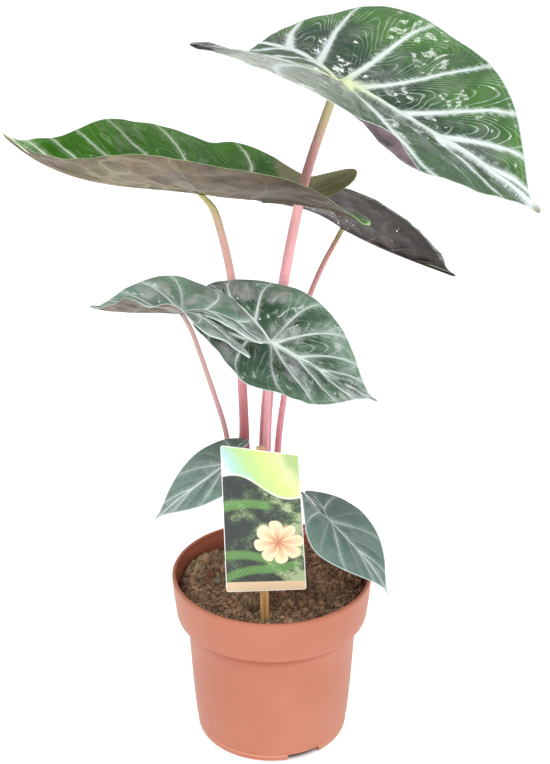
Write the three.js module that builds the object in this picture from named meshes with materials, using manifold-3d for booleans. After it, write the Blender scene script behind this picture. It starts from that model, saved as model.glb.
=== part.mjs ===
import * as THREE from 'three';
import Module from 'manifold-3d';

// Potted alocasia: seven arrow-shaped leaves on upright stalks in a round nursery pot, with a plant card on a
// bamboo stick. Millimetres, +Z up. The origin is the middle of the pot's foot, on the ground; -Y is the front.

// Pot: outer and inner wall as radius and height, from the middle of the base round to the middle of the floor.
const POT_SEGMENTS = 40;
const POT_HEIGHT = 107;
const RIM_RADIUS = 60;
const BAND_FOOT = 79.5;
const FOOT_RADIUS = 44.6;
const PAD_RADIUS = 12;
const BASE_LIFT = 5;
const BASE_THICKNESS = 1.6;
const WALL = 2;
const NOTCH_ANGLES = [-65, 55, 175];
const NOTCH_WIDTH = 21;
const NOTCH_HEIGHT = 4.6;
const DRAIN_HOLES = 6;
const DRAIN_RADIUS = 3.5;
const DRAIN_CIRCLE = 30;

// Soil: fills the pot to a little under the rim, a hair clear of the wall.
const SOIL_TOP = 95;
const SOIL_CLEARANCE = 0.45;
const SOIL_HOLE_FLOOR = 83;
const HOLE_CLEARANCE = 0.35;

// Stick and card.
const STICK_SIZE = [5, 2.6];
const STICK_GROOVE = [0.7, 0.6];
const STICK_FOOT = [-3.4, -34, 62];
const STICK_TOP = 207;
const STICK_LEAN = 1.1;
const CARD_SIZE = [45.6, 91, 0.8];
const CARD_CENTRE = [-5, -36.9, 161];
const CARD_LEAN = 2.4;
const CARD_YAW = 10;
const CARD_TWIST = 4;
const CARD_STEPS = [8, 16];

// Leaf blades.
const BLADE_THICKNESS = 0.8;
const RIB_DEPTH = 1.3;
const SIDE_RIB_DEPTH = 0.3;
const QUILT_HEIGHT = 0.011;
const ROWS = [0, 0.1, 0.28, 0.48, 0.68, 0.86, 1];
const STALK_GAP = 0.4;
const FINE_LENGTH = 60;
const STALK_SIDES = 10;
const STALK_RINGS = 16;

// Outline of half a blade of length 1: along the midrib and out from it, from the tip round to the sinus notch.
const OUTLINE = [
  [1, 0],
  [0.91, 0.03],
  [0.8, 0.108],
  [0.64, 0.238],
  [0.45, 0.36],
  [0.2, 0.45],
  [-0.06, 0.475],
  [-0.3, 0.43],
  [-0.49, 0.335],
  [-0.6, 0.215],
  [-0.58, 0.12],
  [-0.4, 0.06],
  [-0.16, 0],
];
const WIDEST = 0.475;
const TAIL = 0.6;

// Where the side veins meet the margin, as a share of the way round the outline.
const VEIN_STOPS = [0, 0.1, 0.17, 0.235, 0.325, 0.43, 0.56, 0.67, 0.75];
const MIDRIB_END = 0.34;
const FAN_END = 0.44;
const LOBE_TIP = 0.75;

// One entry a leaf. The joint is where the stalk meets the blade. Heading turns the blade about Z from +X, dip
// lowers its tip, roll and twist turn it about the midrib (twist grows towards the tip). Pairs are left half,
// right half. Fold is each half's slope at front, middle and back; cup curls it; arch bends the midrib (front,
// tip, back); lift raises the rear lobes; ripple is the height and phase of the waved edge; each swell adds one
// wave to it, by side, place on the outline, spread, height and how steeply it grows towards the edge; each trim
// scales one outline corner of one side, along and out.
const LEAVES = [
  {
    name: 'top_right',
    joint: [35, 0, 403],
    heading: -11,
    dip: 30,
    roll: 17,
    twist: 41,
    length: 126,
    width: [1.52, 1.52],
    lobe: 0.74,
    fold: [[28, -68, 16], [46, 52, -2]],
    cup: [44, -8],
    arch: [-0.14, 0.16, 1],
    lift: [-11.5, 18.5],
    ripple: [[3.8, 20], [2, 60]],
    ripples: 2.6,
    swells: [[1, 0.358, 0.05, -8, 2], [1, 0.378, 0.045, 12, 20]],
    stalk: {
      foot: [-5, 11],
      radius: [4.4, 2.4],
      via: [[-4, 9, 185], [-2, 8, 221], [6.5, 5.5, 288], [18, 3, 349]],
    },
    colour: 0x4a7355,
  },
  {
    name: 'upper_left',
    joint: [-37, -5, 345],
    heading: 184,
    dip: -10,
    roll: 13,
    twist: -8,
    length: 108,
    width: [1.12, 1.52],
    lobe: 1.34,
    fold: [[34, -10, 10], [40, 24, -10]],
    cup: [34, 12],
    arch: [0.3, -0.44, -0.08],
    lift: [-11.5, 15],
    ripple: [[3.2, -70], [7, 175]],
    ripples: 1.6,
    swells: [[1, 0.12, 0.05, 4, 2], [1, 0.415, 0.05, 3.2, 2], [1, 0.49, 0.03, -3, 2], [1, 0.57, 0.06, 5, 2]],
    trims: [[1, 9, 1.03, 0.98], [1, 10, 0.82, 0.74], [1, 11, 0.7, 0.6]],
    stalk: {
      foot: [-15, 13],
      radius: [3.6, 2.1],
      via: [[-16, 8, 200], [-18, 5, 248], [-22, 1, 292], [-27, -3, 320], [-32, -5, 337]],
    },
    colour: 0x44783c,
  },
  {
    name: 'back_right',
    joint: [43, 85, 295],
    heading: -53,
    dip: 7,
    roll: 0,
    twist: -25,
    length: 98,
    width: [1.02, 1.02],
    lobe: 0.9,
    fold: [[22, 6, 12], [82, 48, 32]],
    cup: [-28, -14],
    arch: [-0.16, 0.06, 0.26],
    lift: [0, 0.5],
    ripple: [[1, 0], [2.6, -10]],
    ripples: 2.1,
    stalk: {
      foot: [3, 16],
      radius: [2.6, 1.5],
      via: [[3.5, 20, 177], [7.5, 31, 208], [14, 46, 239], [22.5, 57, 261], [30, 69, 275]],
    },
    colour: 0x5d524c,
  },
  {
    name: 'middle_left',
    joint: [-46, -58, 297],
    heading: 166,
    dip: 2,
    roll: 4,
    twist: -4,
    length: 51,
    width: [0.96, 1.06],
    lobe: 1.2,
    fold: [[42, 36, -18], [62, 38, -8]],
    cup: [12, 0],
    arch: [0.16, -0.16, 0.74],
    lift: [2.5, 6],
    ripple: [[2.8, 110], [0.8, -55]],
    ripples: 2.8,
    stalk: {
      foot: [-20, 6],
      radius: [1.9, 1.3],
      via: [[-26, 2, 195], [-32, -7, 225], [-35.5, -14, 241], [-38.5, -24, 257], [-42.5, -42, 280]],
    },
    colour: 0x5c7d68,
  },
  {
    name: 'middle_right',
    joint: [-1, -30, 268],
    heading: -1,
    dip: 31,
    roll: 29,
    twist: 19,
    length: 68,
    width: [1.08, 1.04],
    lobe: 1.06,
    fold: [[56, 26, 4], [18, 2, 2]],
    cup: [-4, 6],
    arch: [0.02, -0.04, 0.04],
    lift: [1.5, -2],
    ripple: [[0.8, 35], [3.4, -45]],
    ripples: 2.1,
    stalk: {
      foot: [-8, 2],
      radius: [2.4, 1.5],
      via: [[-3, -5, 203], [-2, -12, 231], [-0.5, -22, 254]],
    },
    colour: 0x527462,
  },
  {
    name: 'low_left',
    joint: [-25, -17, 188],
    heading: 195,
    dip: 34,
    roll: -20,
    twist: -35,
    length: 54,
    width: [0.62, 0.68],
    lobe: 0.52,
    fold: [[-2, -2, 8], [18, 10, -14]],
    cup: [-14, 8],
    arch: [-0.06, 0.08, 0.1],
    lift: [4, -2],
    ripple: [[0.4, 180], [0.8, -40]],
    ripples: 2.2,
    stalk: {
      foot: [-15, -3],
      radius: [1.8, 1.2],
      via: [[-19, -2, 128], [-22.5, -6, 163]],
    },
    colour: 0x7c9486,
  },
  {
    name: 'low_right',
    joint: [32, -25, 156],
    heading: -30,
    dip: 38,
    roll: -21,
    twist: 21,
    length: 55,
    width: [1.06, 1.1],
    lobe: 0.62,
    fold: [[24, 12, 0], [10, -12, 30]],
    cup: [14, -42],
    arch: [-0.04, 0.12, 0.16],
    lift: [-1, 3],
    ripple: [[0.4, -20], [1.2, -170]],
    ripples: 2.1,
    stalk: {
      foot: [1, 5],
      radius: [1.8, 1.2],
      via: [[8, 3, 115], [20, -6, 138]],
    },
    colour: 0x7c9486,
  },
];

const wasm = await Module();
wasm.setup();

const radians = THREE.MathUtils.degToRad;

function material(colour, roughness) {
  return new THREE.MeshStandardMaterial({ color: colour, roughness, metalness: 0 });
}

// Joins vertices that lie at one place and drops the triangles that then have no area.
function weld(geometry) {
  const source = geometry.index ? geometry.toNonIndexed() : geometry;
  const position = source.getAttribute('position');
  const ids = new Map();
  const points = [];
  const triangles = [];
  for (let first = 0; first < position.count; first += 3) {
    const corners = [0, 1, 2].map((step) => {
      const xyz = [position.getX(first + step), position.getY(first + step), position.getZ(first + step)];
      const key = xyz.map((value) => Math.round(value * 2000)).join(',');
      if (!ids.has(key)) {
        ids.set(key, points.length / 3);
        points.push(...xyz);
      }
      return ids.get(key);
    });
    if (new Set(corners).size === 3) {
      triangles.push(...corners);
    }
  }
  return faceOutward(points, triangles);
}

function faceOutward(points, triangles) {
  const [a, b, c] = [new THREE.Vector3(), new THREE.Vector3(), new THREE.Vector3()];
  let volume = 0;
  for (let first = 0; first < triangles.length; first += 3) {
    a.fromArray(points, triangles[first] * 3);
    b.fromArray(points, triangles[first + 1] * 3);
    c.fromArray(points, triangles[first + 2] * 3);
    volume += a.dot(b.cross(c));
  }
  const wound = volume < 0 ? [...triangles].reverse() : triangles;
  const geometry = new THREE.BufferGeometry();
  geometry.setAttribute('position', new THREE.Float32BufferAttribute(points, 3));
  geometry.setIndex(wound);
  return geometry;
}

function toManifold(geometry) {
  const welded = weld(geometry);
  return new wasm.Manifold(new wasm.Mesh({
    numProp: 3,
    vertProperties: new Float32Array(welded.getAttribute('position').array),
    triVerts: new Uint32Array(welded.index.array),
  }));
}

function fromManifold(manifold) {
  const mesh = manifold.getMesh();
  const geometry = new THREE.BufferGeometry();
  geometry.setAttribute('position', new THREE.Float32BufferAttribute(mesh.vertProperties, 3));
  geometry.setIndex([...mesh.triVerts]);
  return geometry;
}

function cut(geometry, cutters) {
  return fromManifold(cutters.reduce((body, cutter) => body.subtract(toManifold(cutter)), toManifold(geometry)));
}

function lathe(profile) {
  const points = profile.map(([radius, height]) => new THREE.Vector2(radius, height));
  return new THREE.LatheGeometry(points, POT_SEGMENTS).rotateX(Math.PI / 2);
}

function innerWall(clearance) {
  return [
    [57.2 - clearance, 94],
    [56 - clearance, 84.5],
    [49.4 - clearance, BAND_FOOT - 0.6],
    [48 - clearance, 50],
    [45.6 - clearance, 14],
    [43 - clearance, BASE_LIFT + BASE_THICKNESS + clearance],
  ];
}

function potGeometry() {
  const body = lathe([
    [0, 0],
    [PAD_RADIUS, 0],
    [PAD_RADIUS + 0.6, BASE_LIFT],
    [FOOT_RADIUS - 5, BASE_LIFT],
    [FOOT_RADIUS - 4, 0],
    [FOOT_RADIUS, 0],
    [FOOT_RADIUS + 1.4, 1.8],
    [47.2, 12],
    [49.2, 40],
    [51.2, BAND_FOOT - 2],
    [57, BAND_FOOT],
    [57.9, BAND_FOOT + 1.6],
    [RIM_RADIUS - 0.1, POT_HEIGHT - 3],
    [RIM_RADIUS, POT_HEIGHT - 0.8],
    [RIM_RADIUS - 0.8, POT_HEIGHT],
    [RIM_RADIUS - WALL, POT_HEIGHT],
    [RIM_RADIUS - WALL - 0.5, POT_HEIGHT - 0.8],
    ...innerWall(0),
    [0, BASE_LIFT + BASE_THICKNESS],
  ]);
  const notches = NOTCH_ANGLES.map((angle) => {
    const box = new THREE.BoxGeometry(16, NOTCH_WIDTH, NOTCH_HEIGHT + 4);
    box.translate(FOOT_RADIUS, 0, NOTCH_HEIGHT / 2 - 2);
    return box.rotateZ(radians(angle));
  });
  const holes = Array.from({ length: DRAIN_HOLES }, (_, number) => {
    const hole = new THREE.CylinderGeometry(DRAIN_RADIUS, DRAIN_RADIUS, 6, 12).rotateX(Math.PI / 2);
    hole.translate(DRAIN_CIRCLE, 0, BASE_LIFT + 0.8);
    return hole.rotateZ(radians(number * 60 + 30));
  });
  return cut(body, [...notches, ...holes]);
}

// Height of the soil's crumbly top above its mean level.
function soilRelief(x, y) {
  const clump = 4 * Math.exp(-((x + 34) ** 2 + (y - 22) ** 2) / 260);
  const waves = Math.sin(x * 0.19 + 1.3) * Math.cos(y * 0.23 - 0.4) + 0.6 * Math.sin((x + y) * 0.37);
  return clump + 1.1 * waves - 0.0006 * (x * x + y * y);
}

function soilGeometry() {
  const wall = innerWall(SOIL_CLEARANCE).reverse();
  const top = [48, 39, 30, 20, 10, 0].map((radius) => [radius, SOIL_TOP]);
  const body = weld(lathe([[0, BASE_LIFT + BASE_THICKNESS + SOIL_CLEARANCE], ...wall, ...top]));
  const position = body.getAttribute('position');
  for (let number = 0; number < position.count; number += 1) {
    const [x, y, z] = [position.getX(number), position.getY(number), position.getZ(number)];
    if (z > SOIL_TOP - 0.5) {
      position.setZ(number, z + soilRelief(x, y));
    }
  }
  const holes = LEAVES.map(({ stalk }) => {
    const radius = stalk.radius[0] + HOLE_CLEARANCE;
    const hole = new THREE.CylinderGeometry(radius, radius, 30, STALK_SIDES).rotateX(Math.PI / 2);
    return hole.translate(stalk.foot[0], stalk.foot[1], SOIL_HOLE_FLOOR + 15);
  });
  return cut(body, [...holes, stickBody(2 * HOLE_CLEARANCE)]);
}

// The stick is a split bamboo strip with a groove down its front. The grown copy cuts its hole in the soil.
function stickBody(grow) {
  const [half, deep] = [(STICK_SIZE[0] + grow) / 2, (STICK_SIZE[1] + grow) / 2];
  const [groove, depth] = [STICK_GROOVE[0] / 2, STICK_GROOVE[1]];
  const section = new THREE.Shape();
  section.moveTo(half, deep);
  section.lineTo(-half, deep);
  section.lineTo(-half, -deep);
  if (grow === 0) {
    section.lineTo(-groove, -deep);
    section.lineTo(0, -deep + depth);
    section.lineTo(groove, -deep);
  }
  section.lineTo(half, -deep);
  const length = STICK_TOP - STICK_FOOT[2] + grow;
  const strip = new THREE.ExtrudeGeometry(section, { depth: length, bevelEnabled: false, steps: 1 });
  strip.translate(0, 0, -grow / 2);
  return strip.rotateY(radians(-STICK_LEAN)).translate(...STICK_FOOT);
}

// The card is a thin sheet, a little twisted: its right edge comes forward at the top.
function cardGeometry() {
  const [wide, tall, thick] = CARD_SIZE;
  const sheet = new THREE.BoxGeometry(wide, thick, tall, CARD_STEPS[0], 1, CARD_STEPS[1]);
  const position = sheet.getAttribute('position');
  for (let number = 0; number < position.count; number += 1) {
    const corner = (position.getX(number) * position.getZ(number)) / ((wide / 2) * (tall / 2));
    position.setY(number, position.getY(number) - CARD_TWIST * corner);
  }
  sheet.rotateZ(radians(-CARD_YAW)).rotateY(radians(-CARD_LEAN));
  return weld(sheet.translate(...CARD_CENTRE));
}

// A point on a smooth curve through the listed points, with share running from 0 to 1.
function smoothPoint(points, share) {
  const place = THREE.MathUtils.clamp(share, 0, 1) * (points.length - 1);
  const first = Math.min(Math.floor(place), points.length - 2);
  const along = place - first;
  return [0, 1].map((axis) => {
    const [p0, p1, p2, p3] = [-1, 0, 1, 2].map((step) => {
      return points[THREE.MathUtils.clamp(first + step, 0, points.length - 1)][axis];
    });
    const [v0, v1] = [(p2 - p0) / 2, (p3 - p1) / 2];
    return (2 * (p1 - p2) + v0 + v1) * along ** 3 + (3 * (p2 - p1) - 2 * v0 - v1) * along ** 2 + v0 * along + p1;
  });
}

// The flat blade: each side vein runs from the midrib, the stalk joint or the lobe's own rib out to the margin.
function marginPoint(leaf, side, u) {
  const outline = OUTLINE.map(([a, b]) => [a < 0 ? a * leaf.lobe : a, b * leaf.width[side]]);
  for (const [half, corner, along, out] of leaf.trims ?? []) {
    if (half === side) {
      outline[corner] = [outline[corner][0] * along, outline[corner][1] * out];
    }
  }
  return smoothPoint(outline, u);
}

function lobeRibPoint(leaf, side, share) {
  const bend = [-0.25 * leaf.lobe, 0.16 * leaf.width[side]];
  const tip = marginPoint(leaf, side, LOBE_TIP);
  return [0, 1].map((axis) => 2 * share * (1 - share) * bend[axis] + share * share * tip[axis]);
}

function ribPoint(leaf, side, u) {
  if (u <= MIDRIB_END) {
    return [(1 - u / MIDRIB_END) ** 1.2, 0];
  }
  if (u <= FAN_END || u >= 1) {
    return [0, 0];
  }
  const share = u <= LOBE_TIP ? (u - FAN_END) / (LOBE_TIP - FAN_END) : (1 - u) / (1 - LOBE_TIP);
  return lobeRibPoint(leaf, side, share ** 1.2);
}

function flatPoint(leaf, side, u, t) {
  const margin = marginPoint(leaf, side, u);
  const rib = ribPoint(leaf, side, u);
  const reach = Math.hypot(margin[0] - rib[0], margin[1] - rib[1]);
  const sweep = u < MIDRIB_END * 1.3 ? 0.12 * reach * Math.sin(Math.PI * u / (MIDRIB_END * 1.3)) : 0;
  return [0, 1].map((axis) => {
    const middle = (margin[axis] + rib[axis]) / 2 - (axis === 0 ? sweep : 0);
    return (1 - t) ** 2 * rib[axis] + 2 * t * (1 - t) * middle + t * t * margin[axis];
  });
}

// Folds, cups, ripples and twists a flat point about the midrib, then bends the midrib itself.
function bendPoint(leaf, side, [a, b]) {
  const size = leaf.length;
  const [x, out] = [a * size, b * size];
  const halfWidth = WIDEST * size * leaf.width[side];
  const share = THREE.MathUtils.clamp((a + TAIL) / (1 + TAIL), 0, 1);
  const [front, middle, back] = leaf.fold[side];
  const slope = radians(back * (1 - share) ** 2 + 2 * middle * share * (1 - share) + front * share ** 2);
  const curl = radians(leaf.cup[side]) + 1e-6;
  const edge = out / halfWidth;
  let y = (halfWidth / curl) * (Math.sin(slope + curl * edge) - Math.sin(slope));
  let z = (halfWidth / curl) * (Math.cos(slope) - Math.cos(slope + curl * edge));
  const [height, phase] = leaf.ripple[side];
  z += height * edge ** 2 * Math.sin((2 * Math.PI * leaf.ripples * a) / (1 + TAIL) + radians(phase));
  z += 2 * leaf.lift[side] * Math.max(0, -a / TAIL) ** 2 * edge;
  y *= side === 0 ? 1 : -1;
  const turn = radians(leaf.twist) * a;
  [y, z] = [y * Math.cos(turn) - z * Math.sin(turn), y * Math.sin(turn) + z * Math.cos(turn)];
  const [droop, tip, rear] = leaf.arch;
  const rise = a >= 0 ? -(droop * a * a + tip * a ** 3) : -rear * a * a;
  const grade = a >= 0 ? -(2 * droop * a + 3 * tip * a * a) : -2 * rear * a;
  const steep = Math.hypot(1, grade);
  return new THREE.Vector3(x - (z * grade) / steep, y, size * rise + z / steep);
}

function leafMatrix(leaf) {
  const [heading, dip, roll] = [leaf.heading, leaf.dip, leaf.roll].map(radians);
  const along = new THREE.Vector3(Math.cos(dip) * Math.cos(heading), Math.cos(dip) * Math.sin(heading), -Math.sin(dip));
  const level = new THREE.Vector3(-Math.sin(heading), Math.cos(heading), 0);
  const above = new THREE.Vector3().crossVectors(along, level);
  const left = level.clone().multiplyScalar(Math.cos(roll)).addScaledVector(above, Math.sin(roll));
  const up = new THREE.Vector3().crossVectors(along, left);
  return new THREE.Matrix4().makeBasis(along, left, up).setPosition(...leaf.joint);
}

// Margin stations of the mesh: every vein and the middle of every panel, then the same lobe rib from its inner
// side back to the sinus notch. The small leaves do without most panel middles.
function stations(fine) {
  const outer = [];
  VEIN_STOPS.slice(0, -1).forEach((stop, number) => {
    outer.push({ u: stop, vein: true, twin: null });
    if (fine || number === 0) {
      outer.push({ u: (stop + VEIN_STOPS[number + 1]) / 2, vein: false, twin: null });
    }
  });
  outer.push({ u: LOBE_TIP, vein: true, twin: null });
  const inner = [];
  for (let number = outer.length - 2; outer[number].u > FAN_END; number -= 1) {
    const share = (LOBE_TIP - outer[number].u) / (LOBE_TIP - FAN_END);
    inner.push({ u: LOBE_TIP + share * (1 - LOBE_TIP), vein: outer[number].vein, twin: number });
  }
  return [...outer, ...inner, { u: 1, vein: true, twin: null }];
}

// Names the vertex at a station and row; places shared by two stations or both halves get one name.
function vertexName(list, side, number, row) {
  const { u, twin } = list[number];
  if (u === 0) {
    return 'tip';
  }
  if (u === LOBE_TIP) {
    return `lobe ${side}`;
  }
  if (u === 1) {
    return row === 0 ? 'joint' : `notch ${row}`;
  }
  if (row > 0) {
    return `${side} ${number} ${row}`;
  }
  if (u > FAN_END) {
    return `rib ${side} ${twin ?? number}`;
  }
  return u < MIDRIB_END - 1e-6 ? `midrib ${number}` : 'joint';
}

function panelHeight(leaf, vein, t) {
  return vein ? 0 : QUILT_HEIGHT * leaf.length * 4 * t * (1 - t);
}

function swellHeight(leaf, side, u, t) {
  const waves = (leaf.swells ?? []).filter(([half]) => half === side);
  return waves.reduce((sum, [, place, spread, height, power]) => {
    return sum + height * Math.exp(-(((u - place) / spread) ** 2)) * t ** power;
  }, 0);
}

function ribDepth(row, u, vein) {
  const taper = u < MIDRIB_END ? 0.35 + 0.65 * (u / MIDRIB_END) : 1 - 0.6 * Math.min(1, Math.abs(u - 0.42) * 2);
  if (row === 0) {
    return RIB_DEPTH * taper;
  }
  return vein && row < ROWS.length - 1 ? SIDE_RIB_DEPTH : 0;
}

function bladeGeometry(leaf) {
  const list = stations(leaf.length > FINE_LENGTH);
  const ids = new Map();
  const sheet = [];
  const faces = [];
  const matrix = leafMatrix(leaf);
  const vertex = (side, number, row) => {
    const name = vertexName(list, side, number, row);
    if (!ids.has(name)) {
      const { u, vein } = list[number];
      const point = bendPoint(leaf, side, flatPoint(leaf, side, u, ROWS[row]));
      const extra = ribDepth(row, u, vein) * (leaf.length / 127) ** 0.5;
      const raise = panelHeight(leaf, vein, ROWS[row]) + swellHeight(leaf, side, u, ROWS[row]);
      ids.set(name, sheet.length);
      sheet.push({ point: point.applyMatrix4(matrix), raise, extra });
    }
    return ids.get(name);
  };
  for (const side of [0, 1]) {
    for (let number = 0; number + 1 < list.length; number += 1) {
      for (let row = 0; row + 1 < ROWS.length; row += 1) {
        const corners = [[0, 0], [0, 1], [1, 1], [1, 0]].map(([n, r]) => vertex(side, number + n, row + r));
        const [a, b, c, d] = side === 0 ? corners : [...corners].reverse();
        faces.push(...[[a, b, c], [a, c, d]].filter((face) => new Set(face).size === 3));
      }
    }
  }
  return thicken(sheet, faces);
}

function faceNormal(sheet, [a, b, c]) {
  const [p, q, r] = [sheet[a].point, sheet[b].point, sheet[c].point];
  return new THREE.Vector3().crossVectors(q.clone().sub(p), r.clone().sub(p));
}

// Turns the leaf's middle sheet into a solid whose two faces are split into triangles alike.
function thicken(sheet, faces) {
  const normals = sheet.map(() => new THREE.Vector3());
  const flats = faces.map((face) => faceNormal(sheet, face));
  faces.forEach((face, number) => face.forEach((corner) => normals[corner].add(flats[number])));
  normals.forEach((normal) => normal.normalize());
  const tilt = sheet.map(() => 1);
  faces.forEach((face, number) => face.forEach((corner) => {
    tilt[corner] = Math.min(tilt[corner], normals[corner].dot(flats[number].clone().normalize()));
  }));
  const layer = (offset) => sheet.map(({ point, raise, extra }, number) => {
    const half = (BLADE_THICKNESS / 2) / Math.max(0.62, tilt[number]);
    return point.clone().addScaledVector(normals[number], raise + (offset > 0 ? half : -half - extra));
  });
  const points = [...layer(1), ...layer(-1)].flatMap((point) => point.toArray());
  const count = sheet.length;
  const triangles = faces.flatMap(([a, b, c]) => [a, b, c, c + count, b + count, a + count]);
  const edges = new Set(faces.flatMap(([a, b, c]) => [`${a} ${b}`, `${b} ${c}`, `${c} ${a}`]));
  edges.forEach((edge) => {
    const [a, b] = edge.split(' ').map(Number);
    if (!edges.has(`${b} ${a}`)) {
      triangles.push(b, a, a + count, b, a + count, b + count);
    }
  });
  return faceOutward(points, triangles);
}

// The blade's upward normal at its joint, square to the midrib and to the line between its two halves.
function jointNormal(leaf) {
  const [left, right] = [0, 1].map((side) => bendPoint(leaf, side, [0, 0.06]));
  const across = left.sub(right);
  return new THREE.Vector3(0, -across.z, across.y).normalize().transformDirection(leafMatrix(leaf));
}

// A stalk stands upright in its hole, then follows a smooth curve to just under the blade's joint.
function stalkPath(leaf) {
  const { foot, via } = leaf.stalk;
  const normal = jointNormal(leaf);
  const drop = BLADE_THICKNESS / 2 + RIB_DEPTH * (leaf.length / 127) ** 0.5 + 0.35 + STALK_GAP;
  const end = new THREE.Vector3(...leaf.joint).addScaledVector(normal, -drop);
  const start = new THREE.Vector3(foot[0], foot[1], SOIL_TOP + 3);
  const curve = new THREE.CatmullRomCurve3([start, ...via.map((point) => new THREE.Vector3(...point)), end]);
  const bottom = new THREE.Vector3(foot[0], foot[1], SOIL_HOLE_FLOOR + 0.4);
  return { points: [bottom, ...curve.getSpacedPoints(STALK_RINGS - 1)], normal };
}

function stalkGeometry(leaf) {
  const { points, normal } = stalkPath(leaf);
  const [wide, narrow] = leaf.stalk.radius;
  const last = points.length - 1;
  const side = new THREE.Vector3(1, 0, 0);
  const vertices = [];
  points.forEach((centre, number) => {
    const ahead = points[Math.min(number + 1, last)];
    const behind = points[Math.max(number - 1, 0)];
    let along = ahead.clone().sub(behind).normalize();
    if (number <= 1) {
      along = new THREE.Vector3(0, 0, 1);
    }
    if (number === last) {
      along = normal;
    }
    side.addScaledVector(along, -side.dot(along)).normalize();
    const across = new THREE.Vector3().crossVectors(along, side);
    const share = Math.max(0, number - 1) / (last - 1);
    const radius = wide + (narrow - wide) * share ** 0.7;
    for (let corner = 0; corner < STALK_SIDES; corner += 1) {
      const angle = (corner * 2 * Math.PI) / STALK_SIDES;
      const point = centre.clone().addScaledVector(side, radius * Math.cos(angle));
      vertices.push(...point.addScaledVector(across, radius * Math.sin(angle)).toArray());
    }
  });
  return faceOutward(vertices, tubeTriangles(points.length, STALK_SIDES));
}

function tubeTriangles(rings, sides) {
  const triangles = [];
  for (let ring = 0; ring + 1 < rings; ring += 1) {
    for (let corner = 0; corner < sides; corner += 1) {
      const next = (corner + 1) % sides;
      const [a, b] = [ring * sides + corner, ring * sides + next];
      triangles.push(a, b, b + sides, a, b + sides, a + sides);
    }
  }
  const top = (rings - 1) * sides;
  for (let corner = 1; corner + 1 < sides; corner += 1) {
    triangles.push(0, corner + 1, corner);
    triangles.push(top, top + corner, top + corner + 1);
  }
  return triangles;
}

function piece(name, geometry, colour, roughness) {
  const mesh = new THREE.Mesh(geometry, material(colour, roughness));
  mesh.name = name;
  return mesh;
}

const plant = new THREE.Group();
plant.name = 'potted_alocasia';
plant.add(piece('pot', potGeometry(), 0xd98a6e, 0.5));
plant.add(piece('soil', soilGeometry(), 0x6b4433, 0.95));
plant.add(piece('card_stick', stickBody(0), 0xc69b62, 0.7));
plant.add(piece('plant_card', cardGeometry(), 0xd9e3c8, 0.4));
LEAVES.forEach((leaf) => {
  plant.add(piece(`stalk_${leaf.name}`, stalkGeometry(leaf), 0xe39aa4, 0.5));
  plant.add(piece(`blade_${leaf.name}`, bladeGeometry(leaf), leaf.colour, 0.4));
});

export default plant;
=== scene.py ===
"""Potted alocasia, dressed for its picture: leaves, stalks, soil, nursery pot, bamboo stick and plant card.

The tables give millimetres in the model's own frame, where the pot stands on the ground and -Y is the front.
Meshes are made in metres.
"""

import logging
import math
import random
from dataclasses import dataclass, field
from enum import Enum
from typing import Any, Callable, Sequence

import bmesh
import bpy
from bmesh.types import BMesh, BMVert
from mathutils import Euler, Matrix, Vector, noise


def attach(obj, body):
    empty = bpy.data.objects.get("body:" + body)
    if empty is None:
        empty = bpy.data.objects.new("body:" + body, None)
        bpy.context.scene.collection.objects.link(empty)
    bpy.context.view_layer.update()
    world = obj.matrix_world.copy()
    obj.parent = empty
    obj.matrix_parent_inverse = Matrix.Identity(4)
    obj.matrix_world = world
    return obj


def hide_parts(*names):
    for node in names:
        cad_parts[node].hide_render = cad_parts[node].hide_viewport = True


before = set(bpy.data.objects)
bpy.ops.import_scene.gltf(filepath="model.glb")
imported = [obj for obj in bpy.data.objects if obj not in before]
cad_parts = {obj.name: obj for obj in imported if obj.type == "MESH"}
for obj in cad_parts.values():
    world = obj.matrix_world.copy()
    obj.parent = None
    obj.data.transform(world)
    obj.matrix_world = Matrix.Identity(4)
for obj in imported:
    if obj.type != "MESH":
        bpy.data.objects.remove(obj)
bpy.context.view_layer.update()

LOG = logging.getLogger("alocasia")
MM = 0.001
BODY = "root"
PLACE_KEY = "place"

# Share of its width that a midrib loses with each millimetre towards the tip.
MIDRIB_TAPER = 0.0042

# Numbers of a Mix node's sockets for colours.
MIX_SHARE, MIX_LOW, MIX_HIGH, MIX_RESULT = 0, 6, 7, 2

Pair = tuple[float, float]
Triple = tuple[float, float, float]
Colour = tuple[float, float, float, float]


def hex_colour(code: str) -> Colour:
    """Turns a screen colour into the linear one a shader wants.

    Args:
        code: Six hexadecimal digits.

    Returns:
        Red, green, blue and an alpha of 1.
    """
    parts = [int(code[place : place + 2], 16) / 255 for place in (0, 2, 4)]
    linear = [part / 12.92 if part <= 0.04045 else ((part + 0.055) / 1.055) ** 2.4 for part in parts]
    red, green, blue = linear
    return (red, green, blue, 1.0)


def mix(low: float, high: float, share: float) -> float:
    """Goes from low to high as share goes from 0 to 1."""
    return low + (high - low) * share


def clamp(value: float) -> float:
    """Keeps a value between 0 and 1."""
    return min(1.0, max(0.0, value))


def ease(low: float, high: float, value: float) -> float:
    """Rises smoothly from 0 at low to 1 at high."""
    share = clamp((value - low) / (high - low))
    return share * share * (3 - 2 * share)


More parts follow.
